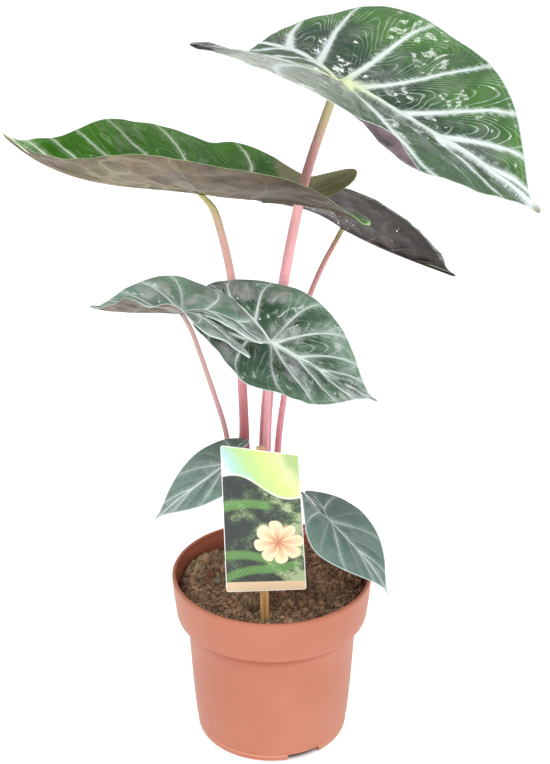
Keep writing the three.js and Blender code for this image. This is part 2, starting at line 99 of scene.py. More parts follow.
class Value:
    """A number or vector in a shader, with the arithmetic that adds Math nodes."""

    def __init__(self, recipe: "Recipe", socket: bpy.types.NodeSocket) -> None:
        """Keeps the recipe and the socket that carries the value."""
        self.recipe = recipe
        self.socket = socket

    def maths(self, operation: str, *others: "Value | float") -> "Value":
        """Adds one Math node.

        Args:
            operation: The Math node's operation.
            others: Its further operands.

        Returns:
            The node's result.
        """
        operands = dict(enumerate((self, *others)))
        return self.recipe.node("ShaderNodeMath", {"operation": operation}, operands)

    def __add__(self, other: "Value | float") -> "Value":
        """Sum."""
        return self.maths("ADD", other)

    __radd__ = __add__

    def __sub__(self, other: "Value | float") -> "Value":
        """Difference."""
        return self.maths("SUBTRACT", other)

    def __rsub__(self, other: float) -> "Value":
        """Difference from a plain number."""
        return (self * -1.0).maths("ADD", other)

    def __mul__(self, other: "Value | float") -> "Value":
        """Product."""
        return self.maths("MULTIPLY", other)

    __rmul__ = __mul__

    def __truediv__(self, other: "Value | float") -> "Value":
        """Quotient."""
        return self.maths("DIVIDE", other)

    def __pow__(self, other: float) -> "Value":
        """Power."""
        return self.maths("POWER", other)

    def least(self, other: "Value | float") -> "Value":
        """The smaller of two."""
        return self.maths("MINIMUM", other)

    def most(self, other: "Value | float") -> "Value":
        """The larger of two."""
        return self.maths("MAXIMUM", other)

    def fraction(self) -> "Value":
        """What is left after the whole number."""
        return self.maths("FRACT")

    def size(self) -> "Value":
        """Without its sign."""
        return self.maths("ABSOLUTE")

    def above(self, limit: float) -> "Value":
        """1 where it is over the limit, else 0."""
        return self.maths("GREATER_THAN", limit)

    def rise(self, low: "Value | float", high: "Value | float") -> "Value":
        """Smoothly 0 at low and 1 at high."""
        inputs = {"Value": self, "From Min": low, "From Max": high, "To Min": 0.0, "To Max": 1.0}
        return self.recipe.node("ShaderNodeMapRange", {"interpolation_type": "SMOOTHSTEP"}, inputs)

    def parts(self) -> tuple["Value", "Value", "Value"]:
        """The vector's x, y and z."""
        split = self.recipe.add("ShaderNodeSeparateXYZ", {}, {"Vector": self})
        return tuple(Value(self.recipe, split.outputs[axis]) for axis in "XYZ")


class Recipe:
    """A material that is put together node by node."""

    def __init__(self, name: str, settings: dict[str, float | Colour] | None = None) -> None:
        """Starts the material.

        Args:
            name: The material's name.
            settings: What is the same all over, set on the shader's own sockets.
        """
        self.material = bpy.data.materials.new(name)
        self.material.use_nodes = True
        self.tree = self.material.node_tree
        self.shader = next(node for node in self.tree.nodes if node.type == "BSDF_PRINCIPLED")
        for socket, value in (settings or {}).items():
            self.shader.inputs[socket].default_value = value

    def add(self, kind: str, settings: dict[str, Any], inputs: dict[str | int, Any]) -> bpy.types.Node:
        """Adds a node.

        Args:
            kind: The node's type.
            settings: Its properties, set first; "stops" holds a ramp's places and colours.
            inputs: Numbers, colours or values for its sockets.

        Returns:
            The node.
        """
        made = self.tree.nodes.new(kind)
        for key, value in settings.items():
            if key == "stops":
                self.set_stops(made.color_ramp, value)
            else:
                setattr(made, key, value)
        for key, value in inputs.items():
            if isinstance(value, Value):
                self.tree.links.new(value.socket, made.inputs[key])
            else:
                made.inputs[key].default_value = value
        return made

    def node(
        self, kind: str, settings: dict[str, Any], inputs: dict[str | int, Any], output: str | int = 0,
    ) -> Value:
        """Adds a node and takes one of its results.

        Args:
            kind: The node's type.
            settings: Its properties.
            inputs: Numbers, colours or values for its sockets.
            output: The name or number of the result.

        Returns:
            The result.
        """
        return Value(self, self.add(kind, settings, inputs).outputs[output])

    @staticmethod
    def set_stops(ramp: bpy.types.ColorRamp, stops: Sequence[tuple[float, Colour]]) -> None:
        """Gives a colour ramp its stops.

        Args:
            ramp: The ramp.
            stops: Each stop's place and linear colour.
        """
        while len(ramp.elements) < len(stops):
            ramp.elements.new(1.0)
        for element, (place, colour) in zip(ramp.elements, stops):
            element.position, element.color = place, colour

    def place(self) -> Value:
        """The point's place in metres."""
        return self.node("ShaderNodeTexCoord", {}, {}, "Object")

    def uv(self, name: str) -> tuple[Value, Value]:
        """The two numbers of a UV map."""
        across, along, _ = self.node("ShaderNodeUVMap", {"uv_map": name}, {}).parts()
        return across, along

    def vector(self, x: Value | float, y: Value | float, z: Value | float = 0.0) -> Value:
        """Three numbers as one vector."""
        return self.node("ShaderNodeCombineXYZ", {}, {"X": x, "Y": y, "Z": z})

    def noise(self, at: Value, scale: float, detail: float = 3.0, rough: float = 0.55) -> Value:
        """Cloudy noise between 0 and 1.

        Args:
            at: Where it is read.
            scale: Clouds in a unit of length.
            detail: How many finer layers it has.
            rough: How strong the finer layers are.

        Returns:
            The noise.
        """
        inputs = {"Vector": at, "Scale": scale, "Detail": detail, "Roughness": rough}
        return self.node("ShaderNodeTexNoise", {}, inputs, "Fac")

    def cells(self, at: Value, scale: float, feature: str = "F1") -> Value:
        """Cell noise: the distance to the nearest seed, sharp or smoothed."""
        inputs = {"Vector": at, "Scale": scale}
        return self.node("ShaderNodeTexVoronoi", {"feature": feature}, inputs, "Distance")

    def blend(self, share: Value | float, low: Value | Colour, high: Value | Colour) -> Value:
        """Mixes two colours.

        Args:
            share: How much of the second colour is taken.
            low: The first colour.
            high: The second colour.

        Returns:
            The mixed colour.
        """
        settings = {"data_type": "RGBA", "blend_type": "MIX", "clamp_factor": True}
        inputs = {MIX_SHARE: share, MIX_LOW: low, MIX_HIGH: high}
        return self.node("ShaderNodeMix", settings, inputs, MIX_RESULT)

    def ramp(self, share: Value, stops: Sequence[tuple[float, str]]) -> Value:
        """Colours along a ramp, given as screen colours."""
        linear = [(place, hex_colour(code)) for place, code in stops]
        return self.node("ShaderNodeValToRGB", {"stops": linear}, {"Fac": share}, "Color")

    def finish(self, **inputs: Value) -> bpy.types.Material:
        """Feeds what changes over the surface to the shader.

        Args:
            inputs: Colour, roughness, glow, and height in millimetres for the bump.

        Returns:
            The finished material.
        """
        sockets = {"colour": "Base Color", "roughness": "Roughness", "glow": "Emission Color"}
        for key, value in inputs.items():
            if key == "height":
                bump = self.node("ShaderNodeBump", {}, {"Height": value, "Distance": MM, "Strength": 1.0})
                self.tree.links.new(bump.socket, self.shader.inputs["Normal"])
            else:
                self.tree.links.new(value.socket, self.shader.inputs[sockets[key]])
        return self.material


@dataclass(frozen=True)
class BladeFinish:
    """Colours and gloss of one leaf blade. Shares go from 0 to 1.

    Attributes:
        deep: Colour of the panels in the middle of the blade.
        fresh: Colour of the panels towards the margin.
        vein: Colour of the veins.
        heart: Colour of the veins round the joint.
        warmth: Share of that colour.
        midrib: Half width of the midrib's pale line at its foot, in millimetres.
        lateral: The same of a side vein.
        skipped: Share by which every other side vein fades, on the left and the right half.
        bare_tip: Share by which the veins nearest the tip fade.
        frost: Strength of the frosted edges of the veins.
        fine: Strength of the fine lines between the veins.
        gap: Millimetres from one fine line to the next.
        sunny: Share of the fresh colour.
        painted_highlight: Share of the painted highlight, pale patches on the swellings between the veins.
        rough: Roughness of the upper face.
        shine: Specular level of the upper face.
        bumps: Height of the crumpled skin.
        quilt: Height of the swelling between two veins.
        under: Colour of the underside; under_patch is that of its clouds, under_dark of its hollows and
            under_vein of its veins.
        specks: Share of white specks on the underside.
        edge: Strength of the pale margin.
        painted_sheen: Strength of the painted sheen, a painted reflection on the right half behind the joint.
        dusk: Share by which the underside darkens towards the lobes.
        tip: Millimetres along the midrib where the dull tip starts, if it has one.
        flap: Millimetres behind the joint where the dull end of the right lobe starts, if it has one.
        flap_soft: Millimetres over which it starts.
        flap_low: Its dark colour; flap_high is the light one and flap_vein that of its veins.
        painted_highlight_tone: Colour of the painted highlight; painted_sheen_tone, tip_tone and
        speck_tone are those of the painted sheen, the dull tip and the specks.
    """

    deep: str
    fresh: str
    vein: str = "D9E6E0"
    heart: str = "DDE8B4"
    warmth: float = 0.0
    midrib: float = 1.6
    lateral: float = 1.1
    skipped: Pair = (0.0, 0.0)
    bare_tip: float = 0.0
    frost: float = 0.6
    fine: float = 0.5
    gap: float = 2.7
    sunny: float = 0.5
    painted_highlight: float = 0.1
    rough: float = 0.16
    shine: float = 0.5
    bumps: float = 1.0
    quilt: float = 0.5
    under: str = "84706A"
    under_patch: str = "7A7358"
    under_dark: str = "5E5048"
    under_vein: str = "A8988C"
    specks: float = 0.0
    edge: float = 0.75
    painted_sheen: float = 0.0
    dusk: float = 0.0
    tip: float | None = None
    flap: float | None = None
    flap_soft: float = 6.0
    flap_low: str = "66683E"
    flap_high: str = "A2A06C"
    flap_vein: str = "B8B68C"
    painted_highlight_tone: str = "CFCBD0"
    painted_sheen_tone: str = "D6DED2"
    tip_tone: str = "8E9470"
    speck_tone: str = "F2F0EE"

    def veins(self, recipe: Recipe) -> dict[str, Value]:
        """Works out how near a point is to each kind of vein.

        Args:
            recipe: The material to add to.

        Returns:
            Masks named main, frost, fine, rim, heart and bow, the swelling between veins, with the place, the
            share from rib to margin and the distances along the midrib and out from it.
        """
        panel, share = recipe.uv("vein")
        wide, reach = recipe.uv("scale")
        along, out = recipe.uv("flat")
        place = recipe.place()
        wobble = recipe.noise(place, 380.0, 2.0) - 0.5
        drift = recipe.noise(place, 38.0, 1.0) - 0.5
        swept = panel + share ** 5.0 * 0.24 + share * (drift * 0.1)
        across = swept.fraction()
        depth = share * reach
        side = across.least(1.0 - across) * wide + wobble * 0.35
        odd = ((swept + 0.5).maths("FLOOR") * 0.5).fraction() * 2.0
        left = out.above(0.0)
        keep = 1.0 - odd * (left * self.skipped[0] + (1.0 - left) * self.skipped[1])
        keep = keep * (1.0 - (1.0 - swept.above(1.5)) * self.bare_tip) * (1.0 - panel.rise(10.3, 10.5))
        half = (1.0 - share * 0.74) * self.lateral
        lateral = (1.0 - (side / half).rise(0.5, 1.2)) * (1.0 - share.rise(0.88, 1.0) * 0.7) * keep
        middle = out.size() + wobble * 0.3
        breadth = (1.0 - along.most(0.0) * MIDRIB_TAPER) * self.midrib
        forward = along.rise(-2.0, 0.0)
        midrib = (1.0 - (middle / breadth).rise(0.65, 1.15)) * forward
        lobe = (1.0 - ((depth + wobble * 0.4) / self.midrib).rise(0.3, 0.75)) * panel.above(5.08)
        main = lateral.most(midrib).most(lobe)
        hairs = recipe.noise(recipe.vector(depth * 1.1, side * 0.2, panel), 1.0, 2.0) ** 2.0 * 9.0
        tufts = recipe.noise(recipe.vector(along * 0.9, middle * 0.16), 1.0, 2.0) ** 2.0 * 12.0
        frost = (1.0 - (side / (half + hairs)).rise(0.3, 1.0)) * keep
        frost = frost.most((1.0 - (middle / (breadth + tufts)).rise(0.35, 1.0)) * forward)
        middle_way = across * 2.0 - 1.0
        spread = (middle_way * middle_way + 0.2) ** 0.5
        slant = (recipe.noise(place, 20.0, 0.0) - 0.5) * 0.3 + 0.17
        warp = (recipe.noise(place, 75.0, 1.0) - 0.5) * 1.5
        flow = (spread * wide * 0.55 + depth * slant) / self.gap + drift * 2.2 + warp
        comb = ((flow.fraction() - 0.5) * 2.0).size().rise(0.72, 1.0)
        patchy = recipe.noise(place, 60.0, 2.0).rise(0.4, 0.62)
        fine = comb * (patchy * 0.85 + 0.15) * share.rise(0.05, 0.25)
        edge = (1.0 - share) * reach
        seam = 1.0 - (edge + wobble * 0.8 - 2.2).size().rise(0.05, 0.4)
        fine = fine.most(seam * 0.3)
        rim = 1.0 - (edge + wobble * 0.2).rise(0.2, 0.7)
        heart = 1.0 - ((along * along + out * out) ** 0.5).rise(3.0, 36.0)
        return {
            "main": main, "frost": frost, "fine": fine, "rim": rim, "heart": heart, "place": place,
            "share": share, "along": along, "out": out,
            "bow": (1.0 - middle_way * middle_way) * share * (1.0 - share) * 4.0,
        }

    def upper(self, name: str) -> bpy.types.Material:
        """Makes the leaf's upper face: green panels, pale frosted veins, a waxy gloss, painted highlights and
        a painted sheen.

        Args:
            name: The leaf's name.

        Returns:
            The material.
        """
        recipe = Recipe(f"{name} upper", {"Specular IOR Level": self.shine})
        veins = self.veins(recipe)
        place, share = veins["place"], veins["share"]
        cloud = recipe.noise(place, 30.0, 3.0)
        mottle = recipe.noise(place, 190.0, 4.0)
        tone = (cloud * 1.2 + share * 1.0 - 1.1).rise(-0.1, 0.7) * veins["out"].rise(-14.0, 22.0).most(0.35)
        green = recipe.blend(tone * self.sunny, hex_colour(self.deep), hex_colour(self.fresh))
        green = recipe.blend((mottle - 0.45).rise(0.0, 0.3) * 0.2, green, hex_colour(self.fresh))
        # Painted highlight: pale patches on the swellings between the veins, in place of the gloss's own
        # highlights.
        highlight_patches = recipe.noise(place, 52.0, 4.0).rise(0.47, 0.62)
        highlight_patches = highlight_patches * (veins["bow"] * 1.3 + 0.2) * (mottle * 0.9 + 0.4)
        green = recipe.blend(highlight_patches * self.painted_highlight, green, hex_colour(self.painted_highlight_tone))
        right = 1.0 - veins["out"].above(0.0)
        # Painted sheen: a pale reflection painted on the right half, strongest behind the joint and fading
        # towards the tip; the fine lines fade under it.
        painted_sheen = (0.78 - (veins["along"] + cloud * 16.0).rise(-20.0, 34.0) * 0.75) * right * self.painted_sheen
        green = recipe.blend(painted_sheen * (mottle * 0.4 + 0.8), green, hex_colour(self.painted_sheen_tone))
        pale = recipe.blend(veins["heart"] * self.warmth, hex_colour(self.vein), hex_colour(self.heart))
        green = recipe.blend(veins["frost"] * mottle.rise(0.2, 0.6) * self.frost, green, pale)
        fine = veins["fine"] * (1.0 - painted_sheen * 0.5) * (1.0 - right * self.painted_sheen * 0.6)
        green = recipe.blend(fine * self.fine, green, pale)
        green = recipe.blend(veins["main"].most(veins["rim"] * self.edge), green, pale)
        if self.flap is not None:
            fringe = veins["along"] + (cloud - 0.5) * self.flap_soft
            rear = (1.0 - fringe.rise(-self.flap - self.flap_soft, -self.flap)) * right
            patches = mottle * 0.6 + cloud * 0.4
            dull = recipe.blend(patches, hex_colour(self.flap_low), hex_colour(self.flap_high))
            dull = recipe.blend(veins["main"] * 0.45, dull, hex_colour(self.flap_vein))
            green = recipe.blend(rear * 0.9, green, dull)
        if self.tip is not None:
            point = veins["along"].rise(self.tip - 6.0, self.tip)
            green = recipe.blend(point * 0.8, green, hex_colour(self.tip_tone))
        crumple = recipe.noise(place, 100.0, 1.0, 0.4)
        puddles = recipe.noise(place, 210.0, 0.0)
        height = (crumple * 0.9 + puddles * 0.45) * self.bumps + veins["bow"] * self.quilt
        height = height + veins["main"] * 0.12 - veins["fine"] * 0.08
        rough = mottle * 0.1 + self.rough + veins["main"].most(veins["frost"] * 0.6) * 0.25
        return recipe.finish(colour=green, roughness=rough, height=height)

    def lower(self, name: str) -> bpy.types.Material:
        """Makes the leaf's underside: taupe with olive clouds, ringed bulges and raised veins.

        Args:
            name: The leaf's name.

        Returns:
            The material.
        """
        recipe = Recipe(f"{name} underside", {"Specular IOR Level": 0.4})
        veins = self.veins(recipe)
        place = veins["place"]
        cloud = recipe.noise(place, 34.0, 4.0)
        hollow = recipe.noise(place, 58.0, 3.0)
        mottle = recipe.noise(place, 210.0, 4.0)
        skin = recipe.blend(cloud.rise(0.42, 0.6), hex_colour(self.under), hex_colour(self.under_patch))
        skin = recipe.blend(hollow.rise(0.48, 0.66) * 0.75, skin, hex_colour(self.under_dark))
        bulge = recipe.cells(place, 62.0, "SMOOTH_F1") + (hollow - 0.5) * 0.5
        ring = 1.0 - (bulge - 0.46).size().rise(0.01, 0.07)
        skin = recipe.blend((1.0 - bulge.rise(0.16, 0.42)) * 0.65, skin, hex_colour(self.under_dark))
        rear = 1.0 - veins["along"].rise(-52.0, 22.0)
        raised = veins["main"].most(veins["rim"] * self.edge)
        freckles = ring * cloud.rise(0.35, 0.6)
        for share in ((mottle - 0.3) * 0.5, veins["fine"] * 0.25, freckles * 0.5, raised * 0.5):
            skin = recipe.blend(share, skin, hex_colour(self.under_vein))
        skin = recipe.blend(rear * self.dusk, skin, hex_colour(self.under_dark))
        if self.specks:
            dots = 1.0 - recipe.cells(place, 230.0).rise(0.12, 0.2)
            field_mask = recipe.noise(place, 60.0, 1.0).rise(0.54, 0.58) * self.specks
            skin = recipe.blend(dots * field_mask, skin, hex_colour(self.speck_tone))
        crumple = recipe.noise(place, 110.0, 2.0, 0.45)
        height = crumple * 1.0 - bulge * 2.0 + mottle * 0.12 + veins["main"] * 0.25 + veins["fine"] * 0.1
        rough = mottle * 0.18 + self.rough + 0.12
        return recipe.finish(colour=skin, roughness=rough, height=height)


@dataclass(frozen=True)
class StalkFinish:
    """Colours of one stalk from the soil up, and the share of its height where the top one begins."""

    low: str = "D27C86"
    middle: str = "F2A8B2"
    high: str = "E8AAA4"
    top: str = "AEB466"
    turn: float = 0.86

    def skin(self, name: str) -> bpy.types.Material:
        """Makes the smooth, faintly streaked skin.

        Args:
            name: The material's name, without its last word.

        Returns:
            The material.
        """
        recipe = Recipe(f"{name} skin", {"Coat Weight": 0.15, "Coat Roughness": 0.25})
        around, share = recipe.uv("skin")
        place = recipe.place()
        streak = recipe.noise(recipe.vector(around * 26.0, share * 3.0), 1.0, 4.0)
        fleck = recipe.noise(place, 480.0, 2.0)
        stops = (
            (0.0, self.low), (self.turn * 0.3, self.low), (self.turn * 0.62, self.middle),
            (self.turn, self.high), (min(1.0, self.turn + 0.11), self.top),
        )
        skin = recipe.ramp(share + (streak - 0.5) * 0.1, stops)
        skin = recipe.blend((streak - 0.5).rise(0.0, 0.25) * 0.4, skin, hex_colour("F4CDD0"))
        skin = recipe.blend(fleck.rise(0.6, 0.72) * 0.35, skin, hex_colour("A9505C"))
        return recipe.finish(colour=skin, roughness=streak * 0.25 + 0.3, height=streak * 0.12 + fleck * 0.04)


class SoilTone(Enum):
    """What a soil crumb or fibre is made of."""

    PEAT = ("5C493A", "A0866A")
    COCO = ("9C7A5E", "E4C4A4")
    RUST = ("8A6850", "C8A482")
    CLUMP = ("74644F", "C0AC8C")
    STRAW = ("C4A888", "F0E0CA")
    CLAY = ("6E4636", "8E5E4A")
    FLAKE = ("6C7A6C", "8E9A88")


@dataclass(frozen=True)
class SoilFinish:
    """Crumbly, matt soil colours."""

    tone: SoilTone
    grain: float = 520.0
    # Strength of the painted shade in the pits.
    hollow: float = 0.0

    def skin(self) -> bpy.types.Material:
        """Makes the crumb or fibre colour, with painted shade in its pits where hollow is set.

        Returns:
            The material.
        """
        recipe = Recipe(f"soil {self.tone.name.lower()}", {"Specular IOR Level": 0.25})
        place = recipe.place()
        speckle = recipe.noise(place, self.grain, 5.0, 0.65)
        patch = recipe.noise(place, 90.0, 2.0)
        dark, light = (hex_colour(code) for code in self.tone.value)
        skin = recipe.blend((speckle * 0.75 + patch * 0.5 - 0.12).rise(0.25, 0.75), dark, light)
        # Painted shade: near-black pits in place of the shade between crumbs.
        painted_pit_shade = 1.0 - recipe.noise(place, 260.0, 2.0).rise(0.36, 0.52)
        skin = recipe.blend(painted_pit_shade * self.hollow, skin, hex_colour("24140A"))
        return recipe.finish(colour=skin, roughness=speckle * 0.15 + 0.78, height=speckle * 0.5)


@dataclass(frozen=True)
class PotPlastic:
    """Moulded terracotta-coloured plastic."""

    body: str = "B46C52"
    worn: str = "BA765C"
    dark: str = "A45A42"
    # Painted shade: a darker tone of the same plastic, for the inner wall and the wall under the band.
    inside: str = "963C22"

    def skin(self) -> bpy.types.Material:
        """Makes the plastic with faint moulding clouds, grain, pin specks, painted shade and a painted
        highlight.

        Returns:
            The material.
        """
        recipe = Recipe("pot plastic", {"Specular IOR Level": 0.4})
        place = recipe.place()
        cloud = recipe.noise(place, 16.0, 3.0)
        grain = recipe.noise(place, 900.0, 3.0)
        pins = 1.0 - recipe.cells(place, 75.0).rise(0.02, 0.04)
        rare = recipe.noise(place, 23.0, 0.0).rise(0.6, 0.65)
        x, y, z = place.parts()
        radius, level = (x * x + y * y) ** 0.5 / MM, z / MM
        skin = recipe.blend(cloud.rise(0.35, 0.7), hex_colour(self.body), hex_colour(self.worn))
        skin = recipe.blend(grain.rise(0.55, 0.75) * 0.18, skin, hex_colour(self.dark))
        skin = recipe.blend(pins * rare * 0.5, skin, hex_colour("E8BCA4"))
        # Painted shade on the inner wall of the rim.
        inner = (1.0 - (radius - level * 0.18).rise(38.2, 38.8)) * level.rise(78.0, 84.0)
        skin = recipe.blend(inner * 0.85, skin, hex_colour(self.inside))
        # Painted shade on the wall just under the band.
        painted_band_shade = level.rise(69.0, 75.6) * (1.0 - level.rise(79.8, 80.6)) * radius.rise(49.0, 50.0)
        skin = recipe.blend(painted_band_shade * painted_band_shade * 0.62, skin, hex_colour(self.inside))
        # Painted highlight: a pale line on the step of the foot.
        foot = 1.0 - (level - 4.2).size().rise(0.25, 0.7)
        skin = recipe.blend(foot * radius.above(45.4) * 0.35, skin, hex_colour("EBB79E"))
        height = grain * 0.03 + pins * rare * 0.08
        return recipe.finish(colour=skin, roughness=cloud * 0.14 + grain * 0.08 + 0.34, height=height)


@dataclass(frozen=True)
class Bamboo:
    """Split bamboo with long fibres."""

    pale: str = "D9B27C"
    tan: str = "B98A50"

    def skin(self) -> bpy.types.Material:
        """Makes the bamboo.

        Returns:
            The material.
        """
        recipe = Recipe("bamboo", {})
        stretch = {"Vector": recipe.place(), "Scale": (1.0, 1.0, 0.02)}
        stretched = recipe.node("ShaderNodeMapping", {}, stretch)
        fibre = recipe.noise(stretched, 1500.0, 3.0)
        blotch = recipe.noise(recipe.place(), 70.0, 2.0)
        _, _, height = recipe.place().parts()
        skin = recipe.blend(fibre.rise(0.35, 0.65), hex_colour(self.tan), hex_colour(self.pale))
        skin = recipe.blend(blotch.rise(0.55, 0.8) * 0.5, skin, hex_colour("9A6A38"))
        skin = recipe.blend(height.rise(0.19, 0.205) * 0.7, skin, hex_colour("EBCFA4"))
        return recipe.finish(colour=skin, roughness=fibre * 0.2 + 0.4, height=fibre * 0.12)


@dataclass(frozen=True)
class CardPrint:
    """Printed plastic card with a plain garden: bright sky, foliage, a blossom and a bare cream strip."""

    half: Pair
    blossom: Pair = (8.5, -13.0)
    petals: int = 8
    petal_reach: float = 13.0

    def flower(self, recipe: Recipe, x: Value, z: Value) -> tuple[Value, Value]:
        """Draws a plain round blossom.

        Args:
            recipe: The material to add to.
            x: Millimetres across the card.
            z: Millimetres up the card.

        Returns:
            Its mask and its colour.
        """
        dx, dz = x - self.blossom[0], z - self.blossom[1]
        radius = (dx * dx + dz * dz) ** 0.5
        angle = dz.maths("ARCTAN2", dx)
        sway = recipe.noise(recipe.vector(x * 0.1, z * 0.1), 1.0, 2.0)
        wave = (angle * (self.petals / 2) + sway * 2.0).maths("SINE").size() ** 0.5
        reach = radius / (wave * 0.34 * self.petal_reach + self.petal_reach * (0.5 + 0.3))
        mask = 1.0 - reach.rise(0.94, 1.0)
        colour = recipe.ramp(reach * 0.8 + (1.0 - wave) * 0.35 + (sway - 0.5) * 0.3, (
            (0.0, "8A4A3A"), (0.14, "C9805E"), (0.3, "E8B088"),
            (0.6, "F3D3AC"), (0.85, "FBE9C4"), (1.0, "D8A07C"),
        ))
        return mask, colour

    def foliage(self, recipe: Recipe, x: Value, z: Value) -> Value:
        """Paints dark bushes with lighter leaves and a few long fronds.

        Args:
            recipe: The material to add to.
            x: Millimetres across the card.
            z: Millimetres up the card.

        Returns:
            Its colour.
        """
        at = recipe.vector(x * 0.1, z * 0.1)
        bush = recipe.noise(at, 1.6, 3.0)
        leaf = recipe.cells(recipe.vector(x * 0.42, z * 0.62), 1.0)
        small = recipe.cells(recipe.vector(x * 1.0, z * 1.25), 1.0)
        lit = recipe.noise(at, 0.7, 1.0).rise(0.35, 0.7) * 0.5 + x.rise(-16.0, 22.0) * 0.3
        shade = bush * 0.7 + (0.5 - leaf) * 0.35 + (0.45 - small) * 0.25 + lit - 0.25
        green = recipe.ramp(shade, ((0.12, "1A2420"), (0.36, "303E30"), (0.55, "566E48"), (0.78, "A4B488")))
        for foot, slope, reach in ((11.0, 0.12, 9.0), (-24.0, -0.1, 14.0), (-31.0, 0.22, 22.0)):
            line = z - foot - x * slope + (x * 0.16).maths("SINE") * 1.2
            barbs = ((x * 0.55 + line.size() * 0.5).fraction() - 0.5).size().rise(0.08, 0.3)
            frond = (1.0 - line.size().rise(1.6, 3.8)) * (1.0 - x.rise(reach - 8.0, reach))
            green = recipe.blend(frond * (0.25 + barbs * 0.75), green, hex_colour("649A48"))
        return green

    def skin(self) -> bpy.types.Material:
        """Makes the print for the front.

        Returns:
            The material.
        """
        recipe = Recipe("card print", {"Coat Weight": 0.3, "Coat Roughness": 0.15, "Roughness": 0.4})
        x, z = recipe.uv("print")
        sheet = self.foliage(recipe, x, z)
        mask, colour = self.flower(recipe, x, z)
        sheet = recipe.blend(mask, sheet, colour)
        sway = recipe.noise(recipe.vector(x * 0.1, z * 0.1), 0.8, 1.0) - 0.5
        sky = recipe.ramp(x / (self.half[0] * 2) + 0.5 + (z - 34.0) * 0.012 + sway * 0.3, (
            (0.0, "E4ECEA"), (0.16, "ACD6D2"), (0.34, "B2D68A"),
            (0.6, "CCDC80"), (0.85, "D6DEA0"), (1.0, "A8C47C"),
        ))
        slope = z + (x * 0.13).maths("SINE") * 4.0 + x * 0.16
        sheet = recipe.blend(slope.rise(22.0, 23.0), sheet, sky)
        band = 1.0 - (slope - 22.6).size().rise(0.4, 0.9)
        sheet = recipe.blend(band * 0.7, sheet, hex_colour("F7FBEA"))
        sheet = recipe.blend(1.0 - z.rise(-39.4, -39.0), sheet, hex_colour("E2C6A2"))
        border = x.size().above(self.half[0] - 0.4).most(z.size().above(self.half[1] - 0.4))
        sheet = recipe.blend(border, sheet, hex_colour("F7F5F0"))
        return recipe.finish(colour=sheet)


@dataclass(frozen=True)
class CardBack:
    """The card's plain back and edge."""

    shade: str = "F4F2EC"

    def skin(self) -> bpy.types.Material:
        """Makes the white plastic.

        Returns:
            The material.
        """
        recipe = Recipe("card back", {"Roughness": 0.45})
        cloud = recipe.noise(recipe.place(), 60.0, 2.0)
        return recipe.finish(colour=recipe.blend(cloud * 0.4, hex_colour(self.shade), hex_colour("E8E4DA")))


@dataclass(frozen=True)
class FloorPaint:
    """Plain white studio floor, evenly glowing, with a painted shadow under the pot."""

    shade: str = "F6F6F6"
    # Colour of the painted shadow under the pot.
    shadow: Colour = (0.02, 0.018, 0.016, 1.0)

    def skin(self) -> bpy.types.Material:
        """Makes the floor.

        Returns:
            The material.
        """
        settings = {"Roughness": 0.9, "Specular IOR Level": 0.0, "Emission Strength": 0.66}
        recipe = Recipe("studio floor", settings)
        x, y, _ = recipe.place().parts()
        radius = (x * x + y * y) ** 0.5
        cloud = recipe.noise(recipe.place(), 3.0, 2.0)
        paint = recipe.blend(cloud, hex_colour(self.shade), hex_colour("F8F8F8"))
        # Painted shadow: colour and glow go dark under the pot's foot.
        clear_of_painted_shadow = radius.rise(0.0405, 0.0465)
        glow = recipe.blend(clear_of_painted_shadow, self.shadow, (1.0, 1.0, 1.0, 1.0))
        return recipe.finish(colour=recipe.blend(clear_of_painted_shadow, self.shadow, paint), glow=glow)


def grid_sheet(
    columns: int, rows: int, uv_maps: Sequence[str] = (),
) -> tuple[BMesh, dict[BMVert, tuple[int, int]]]:
    """Starts a mesh from a flat grid.

    Args:
        columns: Faces along x.
        rows: Faces along y.
        uv_maps: Names of the UV maps that it will carry.

    Returns:
        The mesh, and each vertex's column and row.
    """
    mesh = bmesh.new()
    mesh.verts.layers.int.new(PLACE_KEY)
    for name in uv_maps:
        mesh.loops.layers.uv.new(name)
    bmesh.ops.create_grid(mesh, x_segments=columns, y_segments=rows, size=0.5)
    places = {
        vertex: (round((vertex.co.x + 0.5) * columns), round((vertex.co.y + 0.5) * rows))
        for vertex in mesh.verts
    }
    return mesh, places


def close(mesh: BMesh, distance: float = 2e-6) -> None:
    """Joins doubles and turns every face outwards.

    Args:
        mesh: The mesh.
        distance: How near doubles lie, in metres.
    """
    bmesh.ops.remove_doubles(mesh, verts=mesh.verts[:], dist=distance)
    bmesh.ops.dissolve_degenerate(mesh, edges=mesh.edges[:], dist=distance / 4)
    bmesh.ops.recalc_face_normals(mesh, faces=mesh.faces[:])


class Piece:
    """A finished piece of the scene."""

    def __init__(self, name: str, mesh: BMesh, materials: Sequence[bpy.types.Material], slot: str) -> None:
        """Turns a bmesh into an object that rides on the model.

        Args:
            name: The piece's name.
            mesh: Its shape, freed here.
            materials: Its materials, in the order of its faces' material numbers.
            slot: The record's material slot. It is not used.
        """
        data = bpy.data.meshes.new(name)
        mesh.to_mesh(data)
        mesh.free()
        for material in materials:
            data.materials.append(material)
        self.thing = bpy.data.objects.new(name, data)
        bpy.context.collection.objects.link(self.thing)
        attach(self.thing, BODY)

    def smooth(self, angle: float | None = None) -> "Piece":
        """Shades the piece smoothly.

        Args:
            angle: Degrees over which an edge stays sharp, or none for no sharp edges.

        Returns:
            The piece.
        """
        self.thing.data.shade_smooth()
        if angle is not None:
            self.thing.data.set_sharp_from_angle(angle=math.radians(angle))
        return self

    def stands_for(self, *nodes: str) -> "Piece":
        """Hides the solids that the piece stands for."""
        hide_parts(*nodes)
        return self

    def report(self) -> None:
        """Logs the piece's name and size in triangles."""
        count = sum(len(face.vertices) - 2 for face in self.thing.data.polygons)
        LOG.info("%s: %d triangles", self.thing.name, count)


